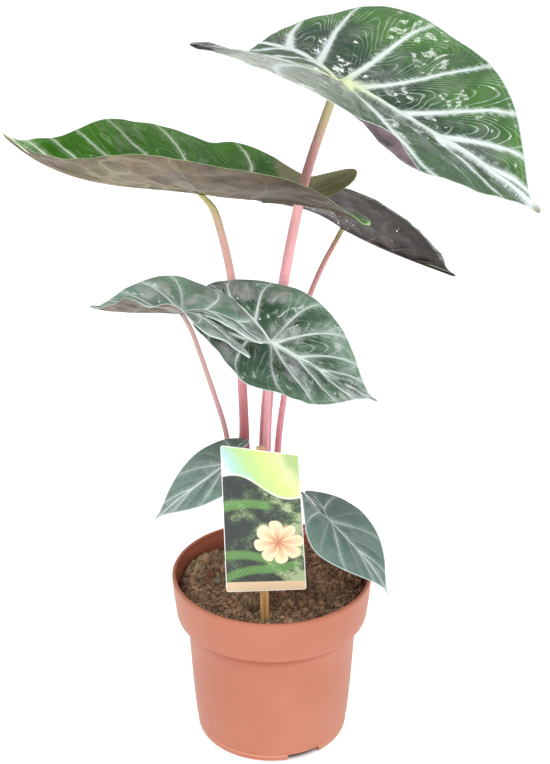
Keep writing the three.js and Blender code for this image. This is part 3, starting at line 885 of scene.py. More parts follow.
# Outline of half a blade of length 1: along the midrib and out from it, from the tip round to the notch
# between the lobes.
OUTLINE = (
    (1, 0), (0.91, 0.03), (0.8, 0.108), (0.64, 0.238), (0.45, 0.36), (0.2, 0.45), (-0.06, 0.475),
    (-0.3, 0.43), (-0.49, 0.335), (-0.6, 0.215), (-0.58, 0.12), (-0.4, 0.06), (-0.16, 0),
)
WIDEST = 0.475
TAIL = 0.6

# Where the side veins meet the margin, as a share of the way round the outline.
VEIN_STOPS = (0, 0.1, 0.17, 0.235, 0.325, 0.43, 0.56, 0.67, 0.75)
MIDRIB_END = 0.34
FAN_END = 0.44
LOBE_TIP = 0.75
LOBE_PANEL = 8
INNER_END = 10.92

HALF_BLADE = 0.36
RIB_DEPTH = 1.3
SIDE_RIB_DEPTH = 0.3
RIB_REACH = 0.1
QUILT_HEIGHT = 0.011
STALK_DROP = 0.35
SOIL_TOP = 95.0
CURVE_STEPS = 40


@dataclass(frozen=True)
class Sheath:
    """The wing that wraps a stalk's foot: its direction, height, width and how it fades."""

    angle: float
    height: float
    top: float
    spread: float = 26.0


@dataclass(frozen=True)
class Swell:
    """One wave of a blade's margin: its half, place round it, spread, height and growth to the edge."""

    side: int
    place: float
    spread: float
    height: float
    power: float = 2.0


@dataclass(frozen=True)
class Trim:
    """Scales one corner of a half's outline, along the midrib and out from it."""

    side: int
    corner: int
    along: float
    out: float


@dataclass(frozen=True)
class LeafForm:
    """One leaf's measures. Lengths are millimetres and angles degrees.

    Attributes:
        name: The leaf's name.
        joint: Where the stalk meets the blade.
        heading: Direction of the midrib seen from above, from +X towards the back.
        dip: How far the midrib points down.
        roll: How far the blade leans over, its left side up.
        twist: How far the blade turns about its midrib over its length.
        length: From the joint to the tip.
        width: Width of the left and the right half, as a share of the outline's.
        lobe: Length of the lobes behind the joint, as a share of the outline's.
        fold: For each half, its slope off the midrib at the tip, in the middle and at the lobes.
        cup: For each half, its further bend from rib to margin.
        arch: How much the midrib droops ahead of the joint, more so at the tip, and behind the joint.
        lift: How far each lobe's margin is raised.
        ripple: For each half, height and phase of the margin's ripples.
        ripples: How many ripples there are.
        foot: Where the stalk leaves the soil.
        radius: The stalk's radius at its foot and under the blade.
        via: Points that the stalk passes through.
        blade: The blade's colours and gloss.
        skin: The stalk's colours.
        fineness: Mesh columns in one panel, and rows from rib to margin.
        bulge: Height of the blade's uneven bulges.
        crest: Height of the midrib's round top.
        swells: Single waves of the margin.
        trims: Changed corners of the outline.
        sheath: The wing round the stalk's foot, if it has one.
    """

    name: str
    joint: Triple
    heading: float
    dip: float
    roll: float
    twist: float
    length: float
    width: Pair
    lobe: float
    fold: tuple[Triple, Triple]
    cup: Pair
    arch: Triple
    lift: Pair
    ripple: tuple[Pair, Pair]
    ripples: float
    foot: Pair
    radius: Pair
    via: tuple[Triple, ...]
    blade: BladeFinish
    skin: StalkFinish
    fineness: tuple[int, int] = (12, 40)
    bulge: float = 0.5
    crest: float = 0.0
    swells: tuple[Swell, ...] = ()
    trims: tuple[Trim, ...] = ()
    sheath: Sheath | None = None

    def corner(self, number: int, side: int) -> Pair:
        """One point of the outline, stretched to this leaf.

        Args:
            number: Which point.
            side: 0 for the left half, 1 for the right.

        Returns:
            Its place along the midrib and out from it.
        """
        number = min(max(number, 0), len(OUTLINE) - 1)
        along, out = OUTLINE[number]
        for trim in self.trims:
            if (trim.side, trim.corner) == (side, number):
                along, out = along * trim.along, out * trim.out
        return (along * self.lobe if along < 0 else along, out * self.width[side])

    def margin(self, side: int, u: float) -> Pair:
        """Finds the flat blade's edge.

        Args:
            side: 0 for the left half, 1 for the right.
            u: Share of the way round the outline.

        Returns:
            Its place along the midrib and out from it.
        """
        place = clamp(u) * (len(OUTLINE) - 1)
        first = min(int(place), len(OUTLINE) - 2)
        corners = [self.corner(first + step, side) for step in (-1, 0, 1, 2)]
        return tuple(smooth_curve(*(corner[axis] for corner in corners), place - first) for axis in (0, 1))

    def rib(self, side: int, u: float) -> Pair:
        """Where a side vein starts: on the midrib, at the joint or on the lobe's own rib.

        Args:
            side: 0 for the left half, 1 for the right.
            u: Share of the way round the outline.

        Returns:
            Its place along the midrib and out from it.
        """
        if u <= MIDRIB_END:
            return ((1 - u / MIDRIB_END) ** 1.2, 0.0)
        if u <= FAN_END or u >= 1:
            return (0.0, 0.0)
        share = (u - FAN_END) / (LOBE_TIP - FAN_END) if u <= LOBE_TIP else (1 - u) / (1 - LOBE_TIP)
        share = share ** 1.2
        bend = (-0.25 * self.lobe, 0.16 * self.width[side])
        tip = self.margin(side, LOBE_TIP)
        return tuple(2 * share * (1 - share) * bend[axis] + share * share * tip[axis] for axis in (0, 1))

    def flat(self, side: int, u: float, t: float) -> Vector:
        """Finds a point of the flat blade, for a blade of length 1.

        Args:
            side: 0 for the left half, 1 for the right.
            u: Share of the way round the outline.
            t: Share of the way from rib to margin.

        Returns:
            The point.
        """
        edge, rib = Vector(self.margin(side, u)), Vector(self.rib(side, u))
        sweep = Vector((0.0, 0.0))
        if u < MIDRIB_END * 1.3:
            sweep.x = 0.12 * (edge - rib).length * math.sin(math.pi * u / (MIDRIB_END * 1.3))
        middle = (edge + rib) / 2 - sweep
        return rib * (1 - t) ** 2 + middle * (2 * t * (1 - t)) + edge * (t * t)

    def bend(self, side: int, a: float, b: float) -> Vector:
        """Folds, cups, ripples and twists a flat point about the midrib, then bends the midrib itself.

        Args:
            side: 0 for the left half, 1 for the right.
            a: Place along the midrib, as a share of the length.
            b: Place out from it, as a share of the length.

        Returns:
            The point in the leaf's own axes, in millimetres.
        """
        half_width = WIDEST * self.length * self.width[side]
        share = clamp((a + TAIL) / (1 + TAIL))
        front, middle, back = self.fold[side]
        tilt = back * (1 - share) ** 2 + 2 * middle * share * (1 - share) + front * share * share
        slope = math.radians(tilt)
        curl = math.radians(self.cup[side]) + 1e-6
        edge = b * self.length / half_width
        y = half_width / curl * (math.sin(slope + curl * edge) - math.sin(slope))
        z = half_width / curl * (math.cos(slope) - math.cos(slope + curl * edge))
        height, phase = self.ripple[side]
        wave = 2 * math.pi * self.ripples * a / (1 + TAIL) + math.radians(phase)
        z += height * edge * edge * math.sin(wave)
        z += 2 * self.lift[side] * max(0.0, -a / TAIL) ** 2 * edge
        y *= 1 if side == 0 else -1
        turn = math.radians(self.twist) * a
        y, z = y * math.cos(turn) - z * math.sin(turn), y * math.sin(turn) + z * math.cos(turn)
        droop, tip, rear = self.arch
        rise = -(droop * a * a + tip * a ** 3) if a >= 0 else -rear * a * a
        grade = -(2 * droop * a + 3 * tip * a * a) if a >= 0 else -2 * rear * a
        steep = math.hypot(1, grade)
        return Vector((a * self.length - z * grade / steep, y, self.length * rise + z / steep))

    def axes(self) -> Matrix:
        """The leaf's axes in the model: along the midrib, to its left and up.

        Returns:
            A matrix in millimetres, with its origin at the joint.
        """
        heading, dip, roll = (math.radians(angle) for angle in (self.heading, self.dip, self.roll))
        along = Vector((math.cos(dip) * math.cos(heading), math.cos(dip) * math.sin(heading), -math.sin(dip)))
        level = Vector((-math.sin(heading), math.cos(heading), 0.0))
        left = level * math.cos(roll) + along.cross(level) * math.sin(roll)
        up = along.cross(left)
        turned = Matrix((along, left, up)).transposed().to_4x4()
        turned.translation = Vector(self.joint)
        return turned

    def joint_normal(self) -> Vector:
        """Which way the blade faces at its joint."""
        across = self.bend(0, 0.0, 0.06) - self.bend(1, 0.0, 0.06)
        return (self.axes().to_3x3() @ Vector((0.0, -across.z, across.y))).normalized()

    def rib_scale(self) -> float:
        """How stout the ribs are next to those of the largest leaf."""
        return math.sqrt(self.length / 127)


def smooth_curve(p0: float, p1: float, p2: float, p3: float, along: float) -> float:
    """A smooth curve between two numbers.

    Args:
        p0: The number before.
        p1: Where the curve starts.
        p2: Where it ends.
        p3: The number after.
        along: Share of the way.

    Returns:
        The number there.
    """
    v0, v1 = (p2 - p0) / 2, (p3 - p1) / 2
    cubic, square = 2 * (p1 - p2) + v0 + v1, 3 * (p2 - p1) - 2 * v0 - v1
    return cubic * along ** 3 + square * along ** 2 + v0 * along + p1


@dataclass(frozen=True)
class Station:
    """A column of the blade's mesh: its place on the outline and in the count of panels between veins."""

    u: float
    panel: float


@dataclass
class Blade:
    """A leaf blade with quilted panels, sunk veins above and raised ribs below."""

    form: LeafForm
    places: list[Vector] = field(default_factory=list)
    raises: list[float] = field(default_factory=list)
    ribs: list[float] = field(default_factory=list)
    crests: list[float] = field(default_factory=list)
    thin: list[float] = field(default_factory=list)

    def stations(self) -> list[Station]:
        """Lists the columns from the tip round the lobe to the sinus.

        Returns:
            The columns.
        """
        steps = self.form.fineness[0]
        outer = [
            Station(mix(VEIN_STOPS[panel], VEIN_STOPS[panel + 1], step / steps), panel + step / steps)
            for panel in range(LOBE_PANEL)
            for step in range(steps)
        ]
        inner = [
            Station(
                LOBE_TIP + (LOBE_TIP - station.u) / (LOBE_TIP - FAN_END) * (1 - LOBE_TIP),
                2 * LOBE_PANEL - station.panel,
            )
            for station in reversed(outer)
            if station.u > FAN_END
        ]
        return [*outer, Station(LOBE_TIP, LOBE_PANEL), *inner, Station(1.0, INNER_END)]

    def rows(self) -> list[float]:
        """Lists the rows from rib to margin, closer together at the rib and at the very edge."""
        count = self.form.fineness[1]
        return [*((row / count) ** 1.15 * 0.985 for row in range(count + 1)), 1.0]

    def spread(self, side: int, station: Station, t: float) -> Pair:
        """Measures the flat blade round a point, in millimetres.

        Args:
            side: Which half.
            station: The point's column.
            t: Its share of the way from rib to margin.

        Returns:
            The width of one panel and the length from rib to margin, each square to the other.
        """
        form = self.form
        panel = min(int(station.panel), LOBE_PANEL - 1)
        if station.panel > LOBE_PANEL:
            panel = max(0, 2 * LOBE_PANEL - 1 - int(station.panel))
        gap = VEIN_STOPS[panel + 1] - VEIN_STOPS[panel]
        if station.u > LOBE_TIP:
            gap *= (1 - LOBE_TIP) / (LOBE_TIP - FAN_END)
        low, high = max(0.0, station.u - 0.002), min(0.9999, station.u + 0.002)
        over = (form.flat(side, high, t) - form.flat(side, low, t)) * (gap / (high - low))
        out = (form.flat(side, station.u, min(1, t + 0.01)) - form.flat(side, station.u, max(0, t - 0.01)))
        out /= min(1, t + 0.01) - max(0, t - 0.01)
        area = abs(over.cross(out))
        wide = area / max(out.length, 1e-4)
        reach = area / over.length if over.length > 1e-4 else out.length
        return (wide * form.length, reach * form.length)

    def relief(self, point: Vector, station: Station, t: float, wide: float) -> tuple[float, float]:
        """Works out how far a point is raised, above and below.

        Args:
            point: Its place in the model, in millimetres.
            station: Its column.
            t: Its share of the way from rib to margin.
            wide: The panel's width there.

        Returns:
            The sheet's rise and the rib's depth under it.
        """
        form = self.form
        across = station.panel % 1
        bow = 1 - (2 * across - 1) ** 2
        fade = 4 * t * (1 - t)
        rise = QUILT_HEIGHT * form.length * fade * bow
        lumps = noise.noise(point / 13.0) * 1.2 + noise.noise(point / 6.5) * 0.7
        rise += form.bulge * fade ** 0.5 * bow ** 0.5 * lumps
        rise += form.bulge * noise.noise(point / 10.0 + Vector((7.0, 3.0, 5.0))) * t ** 4
        away = min(across, 1 - across) * wide
        vein = math.exp(-((away / 1.1) ** 2)) * (1 - t) ** 0.5
        rise += 0.25 * vein
        u = station.u
        taper = 0.35 + 0.65 * u / MIDRIB_END if u < MIDRIB_END else 1 - 0.6 * min(1.0, abs(u - 0.42) * 2)
        rib = RIB_DEPTH * taper * (1 - ease(0.0, RIB_REACH * 1.4, t)) + SIDE_RIB_DEPTH * vein
        return rise, rib * form.rib_scale()

    def swell(self, side: int, u: float, t: float) -> float:
        """Height of the margin's own waves.

        Args:
            side: 0 for the left half, 1 for the right.
            u: Share of the way round the outline.
            t: Share of the way from rib to margin.

        Returns:
            The height in millimetres.
        """
        return sum(
            wave.height * math.exp(-(((u - wave.place) / wave.spread) ** 2)) * t ** wave.power
            for wave in self.form.swells
            if wave.side == side
        )

    def crest(self, flat: Vector) -> float:
        """How far the midrib stands up on the upper face.

        Args:
            flat: A point of the flat blade of length 1.

        Returns:
            The height in millimetres.
        """
        form = self.form
        if not form.crest:
            return 0.0
        along, out = flat.x * form.length, abs(flat.y) * form.length
        width = form.blade.midrib * 1.25 * (1 - MIDRIB_TAPER * max(0.0, along))
        round_top = max(0.0, 1 - (out / width) ** 2) ** 0.8
        return form.crest * round_top * ease(-3.0, 5.0, along) * (1 - 0.55 * max(0.0, flat.x))

    def half_sheet(self, side: int) -> BMesh:
        """Makes one half of the sheet, flat in thickness, with its three UV maps.

        Args:
            side: 0 for the left half, 1 for the right.

        Returns:
            Its mesh.
        """
        form = self.form
        stations, rows = self.stations(), self.rows()
        axes = form.axes()
        mesh, grid = grid_sheet(len(stations) - 1, len(rows) - 1, ("vein", "scale", "flat"))
        key = mesh.verts.layers.int[PLACE_KEY]
        maps = [mesh.loops.layers.uv[name] for name in ("vein", "scale", "flat")]
        marks: dict[BMVert, tuple[Pair, Pair, Pair]] = {}
        for vertex, (column, row) in grid.items():
            station, t = stations[column], rows[row]
            flat = form.flat(side, station.u, t)
            point = axes @ form.bend(side, flat.x, flat.y)
            wide, reach = self.spread(side, station, t)
            rise, rib = self.relief(point, station, t, wide)
            rise += self.swell(side, station.u, t)
            vertex[key] = len(self.places)
            vertex.co = point * MM
            self.places.append(point)
            self.raises.append(rise)
            self.ribs.append(rib)
            self.crests.append(self.crest(flat))
            self.thin.append(1 - 0.6 * ease(0.94, 1.0, t))
            out = flat.y if side == 0 else -flat.y
            marks[vertex] = ((station.panel, t), (wide, reach), (flat.x * form.length, out * form.length))
        for face in mesh.faces:
            for loop in face.loops:
                for uv_map, mark in zip(maps, marks[loop.vert]):
                    loop[uv_map].uv = mark
        if side == 0:
            bmesh.ops.reverse_faces(mesh, faces=mesh.faces[:])
        return mesh

    def sheet(self) -> BMesh:
        """Joins the two halves along the midrib.

        Returns:
            The whole sheet's mesh.
        """
        whole = self.half_sheet(0)
        half = self.half_sheet(1)
        scratch = bpy.data.meshes.new("half")
        half.to_mesh(scratch)
        half.free()
        whole.from_mesh(scratch)
        bpy.data.meshes.remove(scratch)
        bmesh.ops.remove_doubles(whole, verts=whole.verts[:], dist=2e-6)
        return whole

    def build(self) -> Piece:
        """Gives the sheet its thickness, ribs and finishes.

        Returns:
            The piece.
        """
        form = self.form
        mesh = self.sheet()
        key = mesh.verts.layers.int[PLACE_KEY]
        mesh.normal_update()
        normals = {vertex[key]: vertex.normal.copy() for vertex in mesh.verts}
        under_faces = mesh.faces[:]
        everything = [*mesh.verts, *mesh.edges, *mesh.faces]
        under = mesh.verts[:]
        grown = bmesh.ops.extrude_face_region(mesh, geom=everything, use_keep_orig=True)["geom"]
        for vertex in grown:
            if isinstance(vertex, BMVert):
                number = vertex[key]
                lift = self.raises[number] + self.crests[number] + HALF_BLADE * self.thin[number]
                vertex.co += normals[number] * (lift * MM)
        for vertex in under:
            number = vertex[key]
            drop = self.raises[number] - HALF_BLADE * self.thin[number] - self.ribs[number]
            vertex.co += normals[number] * (drop * MM)
        for face in under_faces:
            face.material_index = 1
        bmesh.ops.recalc_face_normals(mesh, faces=mesh.faces[:])
        materials = [form.blade.upper(form.name), form.blade.lower(form.name)]
        piece = Piece(f"leaf_{form.name}", mesh, materials, blade_slot(form))
        return piece.smooth().stands_for(f"blade_{form.name}")


def blade_slot(form: LeafForm) -> str:
    """Names the record's slot for a leaf's blade."""
    slots = {"back_right": "blade_dark", "low_left": "blade_pale", "low_right": "blade_pale"}
    return slots.get(form.name, "blade_green")


def bend_through(points: Sequence[Vector], count: int) -> list[Vector]:
    """Spaces points evenly on a smooth curve through the given ones.

    Args:
        points: What the curve passes through.
        count: How many points come back.

    Returns:
        The evenly spaced points.
    """
    ends = [points[0] * 2 - points[1], *points, points[-1] * 2 - points[-2]]
    fine: list[Vector] = []
    for first in range(len(points) - 1):
        p0, p1, p2, p3 = ends[first : first + 4]
        d0, d1, d2 = ((after - before).length ** 0.5 for before, after in ((p0, p1), (p1, p2), (p2, p3)))
        v1 = ((p1 - p0) / d0 - (p2 - p0) / (d0 + d1) + (p2 - p1) / d1) * d1
        v2 = ((p2 - p1) / d1 - (p3 - p1) / (d1 + d2) + (p3 - p2) / d2) * d1
        for step in range(CURVE_STEPS):
            s = step / CURVE_STEPS
            square, cubic = p2 * 3 - p1 * 3 - v1 * 2 - v2, p1 * 2 - p2 * 2 + v1 + v2
            fine.append(p1 + v1 * s + square * s ** 2 + cubic * s ** 3)
    fine.append(points[-1].copy())
    lengths = [0.0]
    for before, after in zip(fine, fine[1:]):
        lengths.append(lengths[-1] + (after - before).length)
    spaced, place = [], 0
    for number in range(count):
        target = lengths[-1] * number / (count - 1)
        while place < len(fine) - 2 and lengths[place + 1] < target:
            place += 1
        share = (target - lengths[place]) / (lengths[place + 1] - lengths[place])
        spaced.append(fine[place].lerp(fine[place + 1], clamp(share)))
    return spaced


@dataclass
class Stalk:
    """A leaf stalk: upright in the soil, then curving up to the blade's joint."""

    form: LeafForm
    sides: int = 24
    rings: int = 64
    soil_depth: float = 11.0

    def path(self) -> tuple[list[Vector], Vector]:
        """Works out the stalk's middle line.

        Returns:
            Its points in millimetres, and the direction of its last ring.
        """
        form = self.form
        normal = form.joint_normal()
        end = Vector(form.joint) - normal * (HALF_BLADE + RIB_DEPTH * form.rib_scale() + STALK_DROP)
        start = Vector((*form.foot, SOIL_TOP + 3))
        bottom = Vector((*form.foot, SOIL_TOP - self.soil_depth))
        spaced = bend_through([start, *(Vector(point) for point in form.via), end], self.rings - 1)
        return [bottom, *spaced, end + normal * (STALK_DROP * 1.6)], normal

    def radius(self, share: float, angle: float) -> float:
        """The stalk's radius, with its wing and the swelling under the blade.

        Args:
            share: Share of the way up.
            angle: Direction round the stalk, in radians.

        Returns:
            The radius in millimetres.
        """
        wide, narrow = self.form.radius
        radius = wide + (narrow - wide) * share ** 0.7
        radius *= 1 + 0.16 * ease(0.975, 1.0, share)
        sheath = self.form.sheath
        if sheath:
            off = (math.degrees(angle) - sheath.angle + 180) % 360 - 180
            fade = 1 - ease(sheath.top * 0.55, sheath.top, share)
            radius += sheath.height * fade * math.exp(-((off / sheath.spread) ** 2))
        return radius

    def build(self) -> Piece:
        """Makes the tube and its streaked skin.

        Returns:
            The piece.
        """
        path, normal = self.path()
        last = len(path) - 1
        mesh, grid = grid_sheet(self.sides, last, ("skin",))
        frames: list[tuple[Vector, Vector]] = []
        side = Vector((1.0, 0.0, 0.0))
        for number in range(last + 1):
            along = path[min(number + 1, last)] - path[max(number - 1, 0)]
            if number <= 1:
                along = Vector((0.0, 0.0, 1.0))
            along.normalize()
            if number >= last - 1:
                along = normal
            elif number > last - 6:
                along = along.lerp(normal, (number - last + 6) / 5).normalized()
            side = (side - along * side.dot(along)).normalized()
            frames.append((side.copy(), along.cross(side)))
        uv_map = mesh.loops.layers.uv["skin"]
        marks: dict[BMVert, Pair] = {}
        for vertex, (corner, ring) in grid.items():
            angle = 2 * math.pi * corner / self.sides
            share = max(0, ring - 1) / (last - 1)
            radius = self.radius(share, angle)
            out = frames[ring][0] * math.cos(angle) + frames[ring][1] * math.sin(angle)
            vertex.co = (path[ring] + out * radius) * MM
            marks[vertex] = (corner / self.sides, share)
        for face in mesh.faces:
            for loop in face.loops:
                loop[uv_map].uv = marks[loop.vert]
        bmesh.ops.remove_doubles(mesh, verts=mesh.verts[:], dist=2e-6)
        bmesh.ops.holes_fill(mesh, edges=mesh.edges[:], sides=0)
        bmesh.ops.recalc_face_normals(mesh, faces=mesh.faces[:])
        name = self.form.name
        piece = Piece(f"leafstalk_{name}", mesh, [self.form.skin.skin(f"stalk {name}")], "stalk")
        return piece.smooth(50).stands_for(f"stalk_{name}")


@dataclass
class Pot:
    """The round nursery pot: a banded rim over a slightly tapered body on a low foot."""

    steps: int = 144
    notch_angles: Triple = (-65.0, 55.0, 175.0)
    notch: Triple = (16.0, 21.0, 4.6)
    foot_radius: float = 44.6
    holes: int = 6
    hole_radius: float = 3.5
    hole_circle: float = 30.0
    outside: tuple[Pair, ...] = (
        (0, 0), (11.6, 0), (12.1, 0.4), (12.6, 5), (39.6, 5), (40.4, 0.5), (41, 0), (44.2, 0),
        (45.2, 0.5), (45.9, 1.6), (46.25, 3.9), (46.1, 4.3), (46.05, 4.9), (47.2, 12), (48.3, 26),
        (49.2, 40), (50.2, 58), (51.1, 76.2), (51.6, 77.4), (52.6, 78), (55.8, 78.9), (56.7, 79.3),
        (57.3, 80), (57.7, 81.2), (58.5, 88), (59.3, 96), (59.8, 102.5), (60, 105.2), (59.9, 106),
        (59.5, 106.7), (58.9, 107), (58.3, 106.9), (57.8, 106.5), (57.5, 105.6),
    )
    inside: tuple[Pair, ...] = (
        (57.2, 94), (56.4, 86.5), (55.6, 84.3), (49.8, 79.6), (49.2, 77.6), (48, 50), (45.6, 14),
        (43, 6.6), (0, 6.6),
    )

    def shell(self) -> BMesh:
        """Spins the wall's outline round the pot's axis.

        Returns:
            The mesh.
        """
        mesh = bmesh.new()
        outline = (*self.outside, *self.inside)
        points = [mesh.verts.new((radius * MM, 0.0, height * MM)) for radius, height in outline]
        edges = [mesh.edges.new(pair) for pair in zip(points, points[1:])]
        bmesh.ops.spin(
            mesh, geom=[*points, *edges], cent=(0, 0, 0), axis=(0, 0, 1), angle=2 * math.pi, steps=self.steps,
            use_merge=True,
        )
        close(mesh)
        return mesh

    def cutters(self) -> BMesh:
        """Makes the blocks and pegs that leave the drain notches and holes.

        Returns:
            The mesh.
        """
        mesh = bmesh.new()
        long, wide, tall = self.notch
        for angle in self.notch_angles:
            turn = Matrix.Rotation(math.radians(angle), 4, "Z")
            place = Matrix.Translation((self.foot_radius * MM, 0, (tall - 4) / 2 * MM))
            size = Matrix.Diagonal((long * MM, wide * MM, (tall + 4) * MM, 1))
            made = bmesh.ops.create_cube(mesh, size=1.0, matrix=turn @ place @ size)
            upright = [edge for vertex in made["verts"] for edge in vertex.link_edges]
            tops = {edge for edge in upright if min(end.co.z for end in edge.verts) > 0}
            bmesh.ops.bevel(
                mesh, geom=list(tops), offset=0.8 * MM, segments=3, profile=0.5, affect="EDGES", material=-1,
            )
        for number in range(self.holes):
            turn = Matrix.Rotation(math.radians(360 / self.holes * (number + 0.5)), 4, "Z")
            place = Matrix.Translation((self.hole_circle * MM, 0, 5.8 * MM))
            radius = self.hole_radius * MM
            bmesh.ops.create_cone(
                mesh, cap_ends=True, segments=24, radius1=radius, radius2=radius, depth=6 * MM,
                matrix=turn @ place,
            )
        bmesh.ops.recalc_face_normals(mesh, faces=mesh.faces[:])
        return mesh

    def build(self) -> Piece:
        """Cuts the shell and finishes it.

        Returns:
            The piece.
        """
        piece = Piece("nursery_pot", self.shell(), [PotPlastic().skin()], "pot")
        data = bpy.data.meshes.new("cutters")
        mesh = self.cutters()
        mesh.to_mesh(data)
        mesh.free()
        cutter = bpy.data.objects.new("cutters", data)
        bpy.context.collection.objects.link(cutter)
        cut = piece.thing.modifiers.new("drain", "BOOLEAN")
        cut.operation, cut.object, cut.solver = "DIFFERENCE", cutter, "EXACT"
        graph = bpy.context.evaluated_depsgraph_get()
        whole = piece.thing.data
        piece.thing.data = bpy.data.meshes.new_from_object(piece.thing.evaluated_get(graph))
        piece.thing.modifiers.clear()
        bpy.data.objects.remove(cutter)
        bpy.data.meshes.remove(data)
        bpy.data.meshes.remove(whole)
        return piece.smooth(38).stands_for("pot")


@dataclass
class Soil:
    """Potting soil: an uneven bed with crumbs, fibres, straws, a clay pebble and a mineral flake on it."""

    wall: tuple[Pair, ...] = (
        (0, 7.05), (42.5, 7.05), (45.1, 14), (47.5, 50), (48.9, 78.7), (55.4, 84.5), (56.7, 94),
    )
    top_radius: float = 56.5
    fibre_reach: float = 55.3
    rings: int = 64
    steps: int = 190
    seed: int = 11
    heap: Triple = (-43.0, 24.0, 3.4)
    grey_spot: Triple = (-43.0, 30.0, 8.0)

    def __post_init__(self) -> None:
        """Starts the row of chance numbers."""
        self.chance = random.Random(self.seed)

    @staticmethod
    def level(x: float, y: float) -> float:
        """Works out the smooth height of the soil's top.

        Args:
            x: Millimetres across.
            y: Millimetres back.

        Returns:
            The height in millimetres.
        """
        clump = 4 * math.exp(-((x + 34) ** 2 + (y - 22) ** 2) / 260)
        waves = math.sin(x * 0.19 + 1.3) * math.cos(y * 0.23 - 0.4) + 0.6 * math.sin((x + y) * 0.37)
        return SOIL_TOP + clump + 1.1 * waves - 0.0006 * (x * x + y * y)

    @staticmethod
    def crumble(x: float, y: float) -> float:
        """Works out the fine height of the crumbs in the bed.

        Args:
            x: Millimetres across.
            y: Millimetres back.

        Returns:
            The height in millimetres.
        """
        at = Vector((x, y, 0.0))
        lumps = noise.noise(at / 4.2) * 2.0 + noise.noise(at / 1.9) * 1.1
        return lumps + abs(noise.noise(at / 8.0 + Vector((9, 4, 1)))) * 2.0 - 1.1

    def height(self, x: float, y: float) -> float:
        """Works out the height of the bed with its heap and crumbs, kept low at the wall.

        Args:
            x: Millimetres across.
            y: Millimetres back.

        Returns:
            The height in millimetres.
        """
        inner = 1 - ease(50.0, 56.0, math.hypot(x, y))
        heap_x, heap_y, heap_height = self.heap
        heap = heap_height * math.exp(-((x - heap_x) ** 2 + (y - heap_y) ** 2) / 240)
        return self.level(x, y) + heap + self.crumble(x, y) * mix(0.35, 1.0, inner)

    def bed(self) -> Piece:
        """Makes the bed from a round grid: up the wall and in over the top.

        Returns:
            The piece.
        """
        profile = [*self.wall]
        tops = [(self.top_radius * (1 - step / self.rings), 0.0) for step in range(self.rings + 1)]
        mesh, grid = grid_sheet(self.steps, len(profile) + len(tops) - 1)
        for vertex, (column, row) in grid.items():
            angle = 2 * math.pi * column / self.steps
            radius, height = profile[row] if row < len(profile) else tops[row - len(profile)]
            x, y = radius * math.cos(angle), radius * math.sin(angle)
            if row >= len(profile):
                height = self.height(x, y)
            vertex.co = Vector((x, y, height)) * MM
        close(mesh)
        # The bed has painted shade in its pits.
        skin = SoilFinish(SoilTone.PEAT, hollow=0.85).skin()
        return Piece("soil_bed", mesh, [skin], "soil").smooth().stands_for("soil")

    def spot(self, reach: float = 54.5) -> tuple[float, float]:
        """Picks a chance place on the bed."""
        radius, angle = reach * math.sqrt(self.chance.random()), self.chance.uniform(0, 2 * math.pi)
        return radius * math.cos(angle), radius * math.sin(angle)

    def stamp(
        self, whole: BMesh, scratch: bpy.types.Mesh, form: BMesh, shape: Callable[[Vector], Vector],
    ) -> None:
        """Adds a reshaped copy of a small form.

        Args:
            whole: Where it goes.
            scratch: A mesh to pass it through.
            form: The small form, left as it is.
            shape: Gives each point its new place, in millimetres.
        """
        copy = form.copy()
        for vertex in copy.verts:
            vertex.co = shape(vertex.co) * MM
        copy.to_mesh(scratch)
        copy.free()
        whole.from_mesh(scratch)

    def crumbs(
        self, name: str, tone: SoilTone, count: int, sizes: Pair, at: Callable[[], Pair] | None = None,
    ) -> Piece:
        """Strews rough crumbs over the bed.

        Args:
            name: The piece's name.
            tone: What they are made of.
            count: How many.
            sizes: Smallest and largest radius in millimetres.
            at: Picks their places, anywhere on the bed unless given.

        Returns:
            The piece.
        """
        form, whole = bmesh.new(), bmesh.new()
        bmesh.ops.create_icosphere(form, subdivisions=2, radius=1.0)
        scratch = bpy.data.meshes.new("scratch")
        for _ in range(count):
            x, y = (at or self.spot)()
            size = mix(*sizes, self.chance.random() ** 2.2)
            turn = Euler([self.chance.uniform(0, 6.3) for _ in range(3)]).to_matrix()
            shift = Vector([self.chance.uniform(0, 90) for _ in range(3)])
            stretch = Vector((1.0, self.chance.uniform(0.6, 1.0), self.chance.uniform(0.5, 0.8)))
            middle = Vector((x, y, self.height(x, y) + size * 0.2))

            def shape(point: Vector) -> Vector:
                """Roughens and places one point."""
                rough = 1 + 0.5 * noise.noise(point * 1.3 + shift)
                return middle + turn @ Vector(a * b * rough for a, b in zip(point, stretch)) * size

            self.stamp(whole, scratch, form, shape)
        form.free()
        bpy.data.meshes.remove(scratch)
        return Piece(name, whole, [SoilFinish(tone).skin()], "soil").smooth(60)

